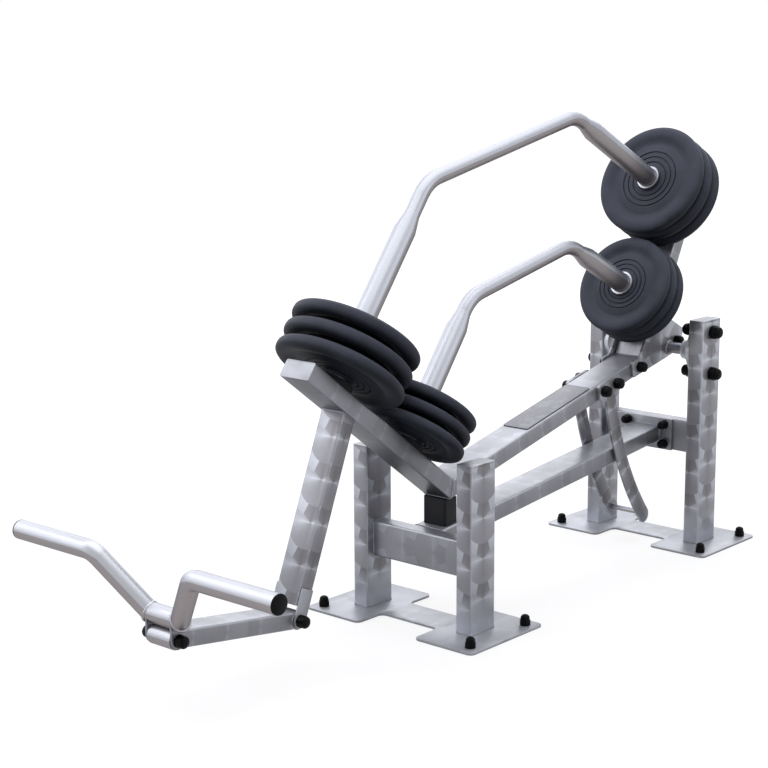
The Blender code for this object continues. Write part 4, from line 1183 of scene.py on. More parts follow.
@dataclass
class BoltCaps:
    """Plastic caps that cover the machine's bolts and nuts."""

    finishes: Finishes
    shank: float = 0.008
    sides: int = 24
    corner_share: float = 0.22
    shoulder_share: float = 0.12
    neck_share: float = 0.30
    dome_power: float = 0.8
    flat_share: float = 0.10
    nut_turn: float = 0.35

    def pattern(self, size: CapSizes) -> Object:
        """A cap that stands on local Z.

        Args:
            size: the cap's sizes.

        Returns:
            The cap on the bench.
        """
        deselect()
        bpy.ops.mesh.primitive_cylinder_add(vertices=6, radius=size.radius, depth=size.body,
                                            location=(0.0, 0.0, size.body / 2),
                                            rotation=(0.0, 0.0, math.pi / 2))
        body = named("cap_body")
        round_edges(body, size.radius * self.corner_share, 4, lambda edge: runs_along(edge, UPWARD))
        round_edges(body, size.radius * self.shoulder_share, 3, lambda edge: is_sharp(edge)
                    and not runs_along(edge, UPWARD) and edge.verts[0].co.z > size.body / 2)
        knee = size.length - size.body
        profile = [(size.dome, size.body / 2), (size.dome, size.body + knee * self.neck_share)]
        for step in range(1, 7):
            turn = step / 7 * math.pi / 2
            rise = self.neck_share + (1 - self.neck_share) * math.sin(turn)
            profile.append((size.dome * math.cos(turn) ** self.dome_power, size.body + knee * rise))
        profile.append((size.dome * self.flat_share, size.length))
        dome = turned("cap_dome", self.sides, profile)
        return combine(body, dome, "UNION")

    def through_bolt(self, name: str, size: CapSizes, low: float, high: float, place: Vector,
                     body: str, twist: float) -> None:
        """A bolt across the machine with a cap outside each seat.

        Args:
            name: the CAD node that it stands for.
            size: the caps' sizes.
            low: X of the seat on the left.
            high: X of the seat on the right.
            place: the bolt's axis in the middle plane.
            body: the CAD body that it rides on.
            twist: how far the caps are turned.
        """
        pattern = self.pattern(size)
        spin = Matrix.Rotation(twist, 4, "Z")
        right = copy_of(pattern, "right_cap", Matrix.Translation((high, 0, 0)) @ ALONG_X @ spin)
        left = copy_of(pattern, "left_cap", Matrix.Translation((low, 0, 0)) @ ALONG_X.inverted() @ spin)
        discard(pattern)
        shank = turned("shank", self.sides, [(self.shank, low), (self.shank, high)])
        put(shank, ALONG_X)
        whole = joined(name, [right, left, shank])
        put(whole, Matrix.Translation(place))
        hand_over(whole, self.finishes.cap, body, Slot.CAP, name)

    def capped_nuts(self, owner: str, seats: Sequence[Vector], turn: Matrix, body: str) -> None:
        """Caps over the nuts of a plate.

        Args:
            owner: the plate's name.
            seats: where the caps stand.
            turn: turns local Z to the caps' direction.
            body: the CAD body that they ride on.
        """
        pattern = self.pattern(NUT_CAP)
        for number, seat in enumerate(seats, start=1):
            spin = Matrix.Rotation(self.nut_turn * number, 4, "Z")
            cap = copy_of(pattern, f"{owner}_cap_{number}", Matrix.Translation(seat) @ turn @ spin)
            hand_over(cap, self.finishes.cap, body, Slot.CAP)
        discard(pattern)


@dataclass
class WeldSeams:
    """Weld beads where the steel parts meet."""

    finishes: Finishes
    radius: float = 0.0016

    def lay(self, name: str, points: Sequence[Vector], body: str, radius: Optional[float] = None) -> None:
        """A bead along a closed line.

        Args:
            name: the bead's name.
            points: the line.
            body: the CAD body that it rides on.
            radius: the bead's radius if it isn't the usual one.
        """
        size = radius or self.radius
        piece = pipe(name, points, [size] * len(points), True, 3)
        hand_over(piece, self.finishes.weld, body, Slot.STEEL)


@dataclass
class Assembly:
    """What every sub-assembly is given."""

    layout: Layout
    finishes: Finishes
    caps: BoltCaps
    welds: WeldSeams


@dataclass
class BaseFrame(Assembly):
    """Base plates, posts, crossbars, lower beam and stop block."""

    plate_thickness: float = 0.007
    plate_half_width: float = 0.297
    pad_width: float = 0.197
    pad_half_depth: float = 0.156
    strip_half_depth: float = 0.057
    plate_corner: float = 0.017
    anchor_inset: tuple[float, float] = (0.034, 0.038)
    post_size: tuple[float, float] = (0.052, 0.104)
    post_lid: float = 0.004
    bead_height: float = 0.001
    front_spots: tuple[float, float, float] = (0.037, 0.0224, -0.0227)
    rear_spots: tuple[float, float, float] = (0.122, 0.026, 0.010)
    post_x: float = 0.1845
    front_top: float = 0.469
    rear_top: float = 0.713
    bar_size: tuple[float, float] = (0.100, 0.050)
    front_bar_top: float = 0.252
    rear_bar_top: float = 0.3875
    flange_thickness: float = 0.008
    flange_half_width: float = 0.095
    flange_nut: tuple[float, float] = (0.0685, 0.031)
    block_width: float = 0.080
    block_length: float = 0.054
    block_ahead: float = 0.014
    block_corner: float = 0.008

    def build(self) -> None:
        """Make every piece of the base frame."""
        rear = self.layout.base_length
        self.base_plate("front_base_plate", 0.0)
        self.base_plate("rear_base_plate", rear)
        for side_name, side in SIDES:
            self.post(f"front_{side_name}_post", side, 0.0, self.front_top, self.front_spots)
            self.post(f"rear_{side_name}_post", side, rear, self.rear_top, self.rear_spots)
        self.crossbar("front_crossbar", 0.0, self.front_bar_top)
        self.crossbar("rear_crossbar", rear, self.rear_bar_top)
        self.lower_beam()

    def base_plate(self, name: str, middle: float) -> None:
        """An H-shaped plate with a capped anchor in each corner.

        Args:
            name: the CAD node that it stands for.
            middle: Y of its middle.
        """
        inner = self.plate_half_width - self.pad_width
        there = [(inner, self.strip_half_depth), (inner, self.pad_half_depth),
                 (self.plate_half_width, self.pad_half_depth)]
        back = there[::-1]
        corners = [Vector((sx * x, sy * y, 0.0)) for sx, sy, quarter in
                   ((1, 1, there), (1, -1, back), (-1, -1, there), (-1, 1, back)) for x, y in quarter]
        piece = plate(name, corners, self.plate_thickness, self.plate_corner, END_ROUND)
        lay_flat_grain(piece, Grain(middle + 0.04, side_shift=0.013))
        put(piece, Matrix.Translation((0.0, middle, 0.0)))
        hand_over(piece, self.finishes.level, "base", Slot.STEEL, name)
        reach_x = self.plate_half_width - self.anchor_inset[0]
        reach_y = self.pad_half_depth - self.anchor_inset[1]
        seats = [Vector((sx * reach_x, middle + sy * reach_y, self.plate_thickness - CAP_SINK))
                 for sx in (-1, 1) for sy in (-1, 1)]
        self.caps.capped_nuts(name, seats, Matrix.Identity(4), "base")

    def post(self, name: str, side: int, y: float, top: float, spots: tuple[float, float, float]) -> None:
        """A post with a closed top and a weld round its foot.

        Args:
            name: the CAD node that it stands for.
            side: 1 for the right side, -1 for the left.
            y: the post's middle.
            top: the post's top.
            spots: how far below the top a spot's middle lies, and the narrow faces' phase and shift.
        """
        foot = self.plate_thickness + GAP
        below, side_phase, side_shift = spots
        grain = Grain(-(top - foot - below) % SPOT_PITCH, side_phase, side_shift)
        width, depth = self.post_size
        seam = top - foot - self.post_lid
        parts = []
        for low, high in ((0.0, seam), (seam, top - foot)):
            part = bar("post_part", width, depth, low, high)
            mark_corner_highlight(part, width, depth)
            soften_ends(part, offset=0.0008)
            lay_grain(part, grain)
            parts.append(part)
        piece = joined(name, parts)
        place = Matrix.Translation((side * self.post_x, y, foot))
        put(piece, place)
        hand_over(piece, self.finishes.steel, "base", Slot.STEEL, name)
        loop = section_loop(self.post_size, place, UPWARD * (foot + self.bead_height), UPWARD)
        self.welds.lay(f"{name}_foot_weld", loop, "base")

    def crossbar(self, name: str, y: float, top: float) -> None:
        """A crossbar on edge between two posts.

        Args:
            name: the CAD node that it stands for.
            y: the bar's middle.
            top: the bar's top.
        """
        half = self.post_x - self.post_size[0] / 2 - GAP
        piece = bar(name, *self.bar_size, -half, half)
        mark_corner_highlight(piece, *self.bar_size)
        lay_grain(piece, Grain(PHASES[name]))
        place = Matrix.Translation((0.0, y, top - self.bar_size[0] / 2)) @ ALONG_X
        put(piece, place)
        hand_over(piece, self.finishes.level, "base", Slot.STEEL, name)
        for side_name, side in SIDES:
            loop = section_loop(self.bar_size, place, ACROSS * (side * half), ACROSS)
            self.welds.lay(f"{name}_{side_name}_weld", loop, "base")

    def lower_beam(self) -> None:
        """The beam between the crossbars, its flange plate and the stop block on it."""
        layout = self.layout
        front_y = self.bar_size[1] / 2 + GAP
        flange_rear = layout.base_length - self.bar_size[1] / 2 - GAP
        rear_y = flange_rear - self.flange_thickness - GAP
        rear_middle = self.rear_bar_top - self.bar_size[0] / 2
        drop = layout.beam_depth / 2
        for _ in range(4):
            front_middle = self.front_bar_top - drop
            angle = math.atan2(rear_middle - front_middle, rear_y - front_y)
            drop = layout.beam_depth / 2 / math.cos(angle)
        start = Vector((0.0, front_y, front_middle))
        end = Vector((0.0, rear_y, rear_middle))
        level = Vector((0.0, 1.0, 0.0))
        piece = beam("lower_beam", layout.beam_size, start, end, -level, level)
        hand_over(piece, self.finishes.level, "base", Slot.STEEL, "lower_beam")
        place = member_frame(start, (end - start).normalized())
        for label, point in (("front", start), ("rear", end)):
            loop = section_loop(layout.beam_size, place, point, level)
            self.welds.lay(f"lower_beam_{label}_weld", loop, "base")
        self.flange(flange_rear, rear_middle)
        self.stop_block(start + square_to(heading(angle)) * (layout.beam_depth / 2), heading(angle))

    def flange(self, rear: float, middle: float) -> None:
        """The plate bolted to the rear crossbar at the end of the lower beam.

        Args:
            rear: Y of its rear face.
            middle: Z of its middle.
        """
        corners = rectangle(self.flange_half_width, self.bar_size[0] / 2)
        piece = plate("beam_flange", corners, self.flange_thickness, corner=0.002, edge=END_ROUND)
        lay_flat_grain(piece, Grain(PHASES["beam_flange"]))
        turn = Matrix.Rotation(math.pi / 2, 4, "X")
        put(piece, Matrix.Translation((0.0, rear, middle)) @ turn)
        hand_over(piece, self.finishes.level, "base", Slot.STEEL, "beam_flange")
        seats = [Vector((sx * self.flange_nut[0], rear - self.flange_thickness + CAP_SINK,
                         middle + sz * self.flange_nut[1])) for sx in (-1, 1) for sz in (-1, 1)]
        self.caps.capped_nuts("beam_flange", seats, turn, "base")

    def stop_block(self, seat: Vector, slope: Vector) -> None:
        """The rubber block under the lever's bend.

        Args:
            seat: a point of the lower beam's top.
            slope: direction along that top.
        """
        lift = square_to(slope)
        front = self.layout.bend_bottom.y - self.block_ahead
        middle = front + self.block_length / 2
        top = self.layout.bend_bottom.z - GAP
        piece = bar("stop_block", self.block_width, self.block_length, 0.0, top, self.block_corner)
        put(piece, Matrix.Translation((0.0, middle, 0.0)))
        cut(piece, seat + lift * GAP, -lift)
        round_edges(piece, 0.0022, 3, lambda edge: is_sharp(edge)
                    and min(vertex.co.z for vertex in edge.verts) > top - 0.001)
        hand_over(piece, self.finishes.buffer, "base", Slot.BUFFER, "stop_block")


@dataclass
class Bearings(Assembly):
    """The flange bearings on the rear posts, with their bolts."""

    post_face: float = 0.1585
    post_outer: float = 0.2105
    half_width: float = 0.0465
    lobe: float = 0.0155
    bolt_spacing: float = 0.130
    flange: float = 0.015
    depth: float = 0.046
    boss: float = 0.029
    boss_root: float = 0.0405
    boss_sink: float = 0.004
    boss_round: float = 0.0035
    rim_round: float = 0.0025
    seal_radii: tuple[float, float, float, float] = (0.0245, 0.0235, 0.0215, 0.0210)
    seal_depth: float = 0.002
    insert_depth: float = 0.0005
    bore: float = 0.0180
    steps: int = 48

    def build(self) -> None:
        """Make both bearings."""
        for label, side in SIDES:
            self.housing(label, side)
            for level, offset in (("upper", 1), ("lower", -1)):
                inner = self.post_face - 2 * GAP - self.flange
                outer = self.post_outer + GAP
                low, high = (inner, outer) if side > 0 else (-outer, -inner)
                place = self.layout.hinge + UPWARD * (offset * self.bolt_spacing / 2)
                self.caps.through_bolt(f"{label}_{level}_bearing_bolt", LARGE_CAP, low, high, place,
                                       "base", twist=0.4 * side + 0.3 * offset)

    def housing(self, label: str, side: int) -> None:
        """One cast housing: a two-lobed flange and a boss round the axle.

        Args:
            label: left or right.
            side: 1 for the right side, -1 for the left.
        """
        name = f"{label}_bearing_housing"
        deselect()
        bpy.ops.mesh.primitive_cylinder_add(vertices=self.steps, radius=self.half_width, depth=self.flange,
                                            location=(0.0, 0.0, self.flange / 2))
        piece = named(name)
        with editing(piece):
            for end in (-1, 1):
                bpy.ops.mesh.primitive_cylinder_add(
                    vertices=self.steps, radius=self.lobe, depth=self.flange,
                    location=(0.0, end * self.bolt_spacing / 2, self.flange / 2))
            bpy.ops.mesh.select_all(action="SELECT")
            bpy.ops.mesh.convex_hull()
        closed_up(piece)
        round_edges(piece, 0.0026, 3, lambda edge: is_sharp(edge) and
                    min(vertex.co.z for vertex in edge.verts) > self.flange - 0.0001)
        top, sunk, rim = self.depth, self.flange - self.boss_sink, self.rim_round
        seal, insert = top - self.seal_depth, top - self.insert_depth
        profile = [(self.boss_root, sunk), (self.boss_root, self.flange + 0.001),
                   (self.boss_root - self.boss_round, self.flange + self.boss_round),
                   (self.boss + 0.0015, top - 0.011), (self.boss, top - 0.008), (self.boss, top - rim),
                   (self.boss - rim, top), *zip(self.seal_radii, (top, seal, seal, insert)),
                   (self.bore, insert), (self.bore, sunk)]
        boss = turned("boss", self.steps, profile, True)
        combine(piece, boss, "UNION")
        seat = side * (self.post_face - GAP)
        turn = ALONG_X.inverted() if side > 0 else ALONG_X
        put(piece, Matrix.Translation(Vector((seat, 0.0, 0.0)) + self.layout.hinge) @ turn
            @ Matrix.Rotation(math.pi / 2, 4, "Z"))
        hand_over(piece, self.finishes.casting, "base", Slot.CASTING, name)


@dataclass
class Lever(Assembly):
    """Arm, inclined beam, riser, side plates and axle."""

    tail: float = 0.066
    riser_over_tube: float = 0.055
    upper_tube_end: Vector = field(default_factory=lambda: Vector((0.0, 1.22385, 1.06607)))
    plate_thickness: float = 0.008
    plate_corner: float = 0.004
    plate_reach: tuple[float, float, float] = (0.208, 0.0245, -0.057)
    plate_shelf: float = 0.167
    plate_under: float = 0.005
    plate_bend: float = 0.001
    plate_over: float = 0.006
    crown: tuple[float, float] = (0.047, 0.082)
    front_bolt: tuple[float, float] = (0.172, 0.001)
    rear_bolt: tuple[float, float] = (-0.041, 0.008)
    axle_radius: float = 0.0175
    axle_bore: float = 0.0135
    axle_half: float = 0.1525
    collar_radius: float = 0.023
    collar_thickness: float = 0.004
    edge: float = 0.001

    def build(self) -> None:
        """Make every piece of the lever."""
        self.arm()
        self.riser()
        self.side_plates()
        self.axle()

    def arm(self) -> None:
        """The arm and the inclined beam, mitred and welded at the bend."""
        layout = self.layout
        depth = layout.up * (layout.arm_top_over_hinge - layout.beam_depth / 2)
        tail = layout.hinge + depth + layout.back * self.tail
        joint = layout.bend_middle
        half_gap = layout.mitre * (GAP / 2)
        piece = beam("main_arm", layout.beam_size, joint + half_gap, tail, -layout.mitre)
        hand_over(piece, self.finishes.level, "lever", Slot.STEEL, "main_arm")
        front = (layout.bend_top + layout.rise * layout.incline_length
                 - layout.over * (layout.beam_depth / 2))
        piece = beam("inclined_beam", layout.beam_size, joint - half_gap, front, layout.mitre)
        hand_over(piece, self.finishes.level, "lever", Slot.STEEL, "inclined_beam")
        loop = section_loop(layout.beam_size, member_frame(joint, layout.back), joint, layout.mitre)
        self.welds.lay("bend_weld", loop, "lever", radius=0.0014)

    def riser(self) -> None:
        """The riser that takes the rear ends of both weight tubes."""
        layout = self.layout
        middle = layout.hinge - layout.riser_back * layout.riser_ahead
        arm_top = layout.hinge + layout.up * (layout.arm_top_over_hinge + GAP)
        foot = meet(middle, layout.riser_up, arm_top, layout.up)
        level = meet(middle, layout.riser_up, self.upper_tube_end, layout.riser_up)
        top = level + layout.riser_up * self.riser_over_tube
        piece = beam("riser", layout.beam_size, foot, top, -layout.up)
        hand_over(piece, self.finishes.level, "lever", Slot.STEEL, "riser")
        loop = section_loop(layout.beam_size, member_frame(foot, layout.riser_up), foot, layout.up)
        self.welds.lay("riser_foot_weld", loop, "lever")

    def side_plates(self) -> None:
        """The plates that join arm, riser and axle, and their bolts."""
        layout = self.layout
        bottom = layout.arm_top_over_hinge - layout.beam_depth
        under, over = bottom + self.plate_under, layout.arm_top_over_hinge + self.plate_over
        front, bend, rear = self.plate_reach
        crown_back, crown_up = self.crown
        shoulder = layout.riser_front + layout.riser_up * crown_up
        crown = layout.hinge + layout.riser_back * crown_back + layout.riser_up * crown_up
        corners = [layout.on_arm(front, under), layout.on_arm(bend, bottom + self.plate_bend),
                   layout.on_arm(rear, under), crown, shoulder,
                   layout.on_arm(self.plate_shelf, over), layout.on_arm(front, over)]
        inner = layout.beam_width / 2 + GAP
        outer = inner + self.plate_thickness
        for label, side in SIDES:
            name = f"{label}_side_plate"
            grain = Grain(PHASES["side_plate"] + side, side_shift=-0.62)
            piece = upright_plate(name, corners, (inner, outer), side, self.plate_corner, RIM_ROUND, grain)
            hand_over(piece, self.finishes.steel, "lever", Slot.STEEL, name)
        seat = outer + GAP
        for name, place in (("front_side_bolt", self.front_bolt), ("rear_side_bolt", self.rear_bolt)):
            axis = layout.on_arm(*place)
            self.caps.through_bolt(name, SMALL_CAP, -seat, seat, axis, "lever", twist=0.5)

    def axle(self) -> None:
        """The hinge axle: a thick tube with a collar welded outside each side plate."""
        radius, collar, bore, end = self.axle_radius, self.collar_radius, self.axle_bore, self.axle_half
        inner = self.layout.beam_width / 2 + self.plate_thickness + 2 * GAP
        outer = inner + self.collar_thickness
        half = [(radius - self.edge, end), (radius, end - self.edge), (radius, outer),
                (collar - self.edge, outer), (collar, outer - self.edge), (collar, inner), (radius, inner)]
        profile = half + [(r, -x) for r, x in reversed(half)] + [(bore, -end), (bore, end)]
        piece = turned("hinge_axle", 48, profile, True)
        put(piece, Matrix.Translation(self.layout.hinge) @ ALONG_X)
        hand_over(piece, self.finishes.tube, "lever", Slot.TUBE, "hinge_axle")
        for label, side in SIDES:
            middle = self.layout.hinge + ACROSS * (side * (inner + self.edge / 2))
            loop = ring_loop(middle, ACROSS, collar, ACROSS)
            self.welds.lay(f"{label}_collar_weld", loop, "lever")


@dataclass
class Hanger(Assembly):
    """The hanger under the inclined beam with its ears and pivot bolt."""

    size: tuple[float, float] = (0.080, 0.050)
    end_over_pivot: float = 0.035
    ear_thickness: float = 0.006
    ear_width: float = 0.040
    ear_overlap: float = 0.046
    spots: Grain = Grain(0.013, 0.0, -0.020)

    def build(self) -> None:
        """Make the hanger, its ears and its bolt."""
        layout = self.layout
        up = layout.hanger_up
        top = meet(layout.pivot, up, layout.hanger_top - layout.over * GAP, layout.over)
        bottom = layout.pivot + up * self.end_over_pivot
        piece = beam("hanger", self.size, bottom, top, None, layout.over, self.spots)
        hand_over(piece, self.finishes.steel, "lever", Slot.STEEL, "hanger")
        loop = section_loop(self.size, member_frame(bottom, up), top, layout.over)
        self.welds.lay("hanger_top_weld", loop, "lever")
        half = self.ear_width / 2
        lean = -square_to(up) * half
        outline = spokes(layout.pivot, half, layout.hanger_angle + math.pi / 2, math.pi, 24)
        head = layout.pivot + up * (self.end_over_pivot + self.ear_overlap)
        outline += [head + lean, head - lean]
        inner = self.size[0] / 2 + GAP
        outer = inner + self.ear_thickness
        for label, side in SIDES:
            name = f"hanger_{label}_ear"
            ear = upright_plate(name, outline, (inner, outer), side, 0.0, RIM_ROUND,
                                Grain(PHASES["hanger_ear"], side_shift=-0.14), True)
            hand_over(ear, self.finishes.level, "lever", Slot.STEEL, name)
        seat = outer + GAP
        self.caps.through_bolt("hanger_pivot_bolt", SMALL_CAP, -seat, seat, layout.pivot, "lever", twist=0.2)


@dataclass
class StopHoop(Assembly):
    """Two curved bars under the arm and the pin that meets the lower beam."""

    thickness: float = 0.008
    width: float = 0.050
    packing: float = 0.0037
    rear_bolt: float = 0.3063
    front_bolt: float = 0.3724
    head_margin: float = 0.0225
    reach: float = 0.341
    radius: float = 0.982
    arc_drop: float = 0.0435
    sweep: float = math.radians(28.6)
    pin_from_end: float = 0.010
    rim: float = 0.0014
    head_corner: float = 0.008
    spot_shift: float = -0.79
    spot_lag: float = 0.03
    pin_radius: float = 0.0078
    split_pin_angle: float = math.radians(34.6)
    split_pin_wire: float = 0.0012
    split_pin_inset: float = 0.006
    split_pin_reach: float = 0.004
    split_pin_bend: tuple[float, float] = (0.006, 0.010)
    steps: int = 28

    def build(self) -> None:
        """Make the bars, bolts and pin."""
        layout = self.layout
        inner = layout.beam_width / 2 + GAP + self.packing
        outer = inner + self.thickness
        forward = self.reach - math.sqrt(self.radius ** 2 - self.arc_drop ** 2)
        middle = layout.on_arm(forward, -self.arc_drop)
        begin = layout.on_arm(self.reach, 0.0) - middle
        start = math.atan2(begin.z, begin.y)
        half = self.width / 2
        end_angle = start + self.sweep
        end_middle = middle + heading(end_angle) * self.radius
        band = spokes(middle, self.radius + half, start, self.sweep, self.steps)
        band += spokes(end_middle, half, end_angle, math.pi, 16)[1:-1]
        band += spokes(middle, self.radius - half, end_angle, -self.sweep, self.steps)
        low, high = layout.arm_top_over_hinge - layout.beam_depth, layout.arm_top_over_hinge
        front, rear = self.front_bolt + self.head_margin, self.rear_bolt - self.head_margin
        head = [layout.on_arm(place, height)
                for place, height in ((front, low), (rear, low), (rear, high), (front, high))]
        head_inner = layout.beam_width / 2 + GAP
        for label, side in SIDES:
            name = f"{label}_hoop_bar"
            bar_grain = Grain(PHASES["hoop_bar"] + side, side_shift=self.spot_shift)
            piece = upright_plate(name, band, (inner, outer), side, 0.0, self.rim, bar_grain, True)
            head_grain = Grain(PHASES["hoop_head"] + side, side_shift=self.spot_shift)
            block = upright_plate("head", head, (head_inner, outer), side, self.head_corner, RIM_ROUND,
                                  head_grain, True)
            combine(piece, block, "UNION")
            lay_arc_grain(piece, middle, self.radius, self.spot_lag * side)
            hand_over(piece, self.finishes.steel, "lever", Slot.STEEL, name)
        seat = outer + GAP
        for name, place in (("rear_hoop_bolt", self.rear_bolt), ("front_hoop_bolt", self.front_bolt)):
            axis = layout.on_arm(place, 0.0)
            self.caps.through_bolt(name, SMALL_CAP, -seat, seat, axis, "lever", twist=place * 5)
        pin_angle = end_angle - self.pin_from_end / self.radius
        self.pin(middle + heading(pin_angle) * self.radius, inner - GAP)

    def pin(self, place: Vector, half: float) -> None:
        """The cross pin and the small split pin that keeps it.

        Args:
            place: the pin's axis in the middle plane.
            half: half of its length.
        """
        piece = turned("hoop_pin", 32, chamfered(self.pin_radius, -half, half, edge=0.001))
        put(piece, Matrix.Translation(place) @ ALONG_X)
        hand_over(piece, self.finishes.tube, "lever", Slot.TUBE, "hoop_pin")
        foot = place + ACROSS * (half - self.split_pin_inset)
        level = heading(self.split_pin_angle)
        reach = level * (self.pin_radius + self.split_pin_reach)
        eye = ACROSS * self.split_pin_reach
        on, in_from_side = self.split_pin_bend
        points = [foot + reach + eye, foot + reach - eye, foot + level * self.pin_radius, foot - reach,
                  foot - reach - level * on - ACROSS * in_from_side]
        split_pin = pipe("hoop_split_pin", points, [self.split_pin_wire] * len(points), False, 3)
        hand_over(split_pin, self.finishes.tube, "lever", Slot.TUBE)


@dataclass
class InfoPlate(Assembly):
    """The bare plate on the arm where instructions would go."""

    width: float = 0.090
    length: float = 0.320
    thickness: float = 0.002
    rear: float = 0.415
    corner: float = 0.008

    def build(self) -> None:
        """Make the plate."""
        corners = rectangle(self.width / 2, self.length / 2)
        piece = plate("info_plate", corners, self.thickness, self.corner, edge=0.0005)
        lay_flat_grain(piece, Grain())
        middle = self.layout.on_arm(self.rear + self.length / 2, self.layout.arm_top_over_hinge + GAP)
        put(piece, Matrix.Translation(middle) @ Matrix.Rotation(self.layout.arm_angle, 4, "X"))
        hand_over(piece, self.finishes.plate, "lever", Slot.PLATE, "info_plate")


@dataclass
class TubeSizes:
    """The corners of one weight tube and the length of its front neck."""

    foot: Vector
    front: Vector
    rear: Vector
    end: Vector
    neck: float


@dataclass
class WeightTubes(Assembly):
    """The two bent tubes that carry the discs."""

    from_beam_end: float = 0.139
    upper_rise: float = 0.6184
    upper_run: float = 0.679
    lower_rise: float = 0.4632
    front_rim_space: float = 0.0104
    rear_rim_space: float = 0.00843
    disc_radii: float = 0.332
    middle_angle: float = math.radians(12.5)
    thick: float = 0.03015
    thin: float = 0.0212
    bend: float = 0.120
    neck_length: float = 0.047
    upper_neck: float = 0.105
    lower_neck: float = 0.052
    rear_neck: float = 0.053

    def __post_init__(self) -> None:
        """Work out both tubes' corners."""
        layout = self.layout
        along = heading(self.middle_angle)
        foot = layout.bend_top + layout.rise * (layout.incline_length - self.from_beam_end)
        front = foot + layout.over * self.upper_rise
        rear = front + along * self.upper_run
        end = meet(rear, layout.riser_back, layout.riser_front, layout.riser_back)
        self.upper = TubeSizes(foot, front, rear, end, self.upper_neck)
        foot = foot - layout.rise * (self.disc_radii + self.front_rim_space)
        end = end - layout.riser_up * (self.disc_radii + self.rear_rim_space)
        front = foot + layout.over * self.lower_rise
        rear = meet(front, along, end, layout.riser_up)
        self.lower = TubeSizes(foot, front, rear, end, self.lower_neck)

    def build(self) -> None:
        """Make both tubes."""
        layout = self.layout
        lift, down = layout.over, layout.riser_back
        run = heading(self.middle_angle)
        for name, tube in (("upper_weight_tube", self.upper), ("lower_weight_tube", self.lower)):
            path = [(tube.foot + lift * GAP, self.thick),
                    (tube.front - lift * (tube.neck + self.neck_length), self.thick),
                    (tube.front - lift * tube.neck, self.thin)]
            path += [(place, self.thin) for place in arc(tube.front, -lift, run, self.bend, 20)]
            path += [(place, self.thin) for place in arc(tube.rear, -run, down, self.bend, 20)]
            path += [(tube.rear + down * self.rear_neck, self.thin),
                     (tube.rear + down * (self.rear_neck + self.neck_length), self.thick),
                     (tube.end - down * GAP, self.thick)]
            piece = pipe(name, [place for place, _ in path], [radius for _, radius in path], False, 14)
            hand_over(piece, self.finishes.tube, "lever", Slot.TUBE, name)


@dataclass(frozen=True)
class DiscSizes:
    """Sizes of one kind of disc."""

    radius: float
    pitch: float
    rim: float
    valley: float


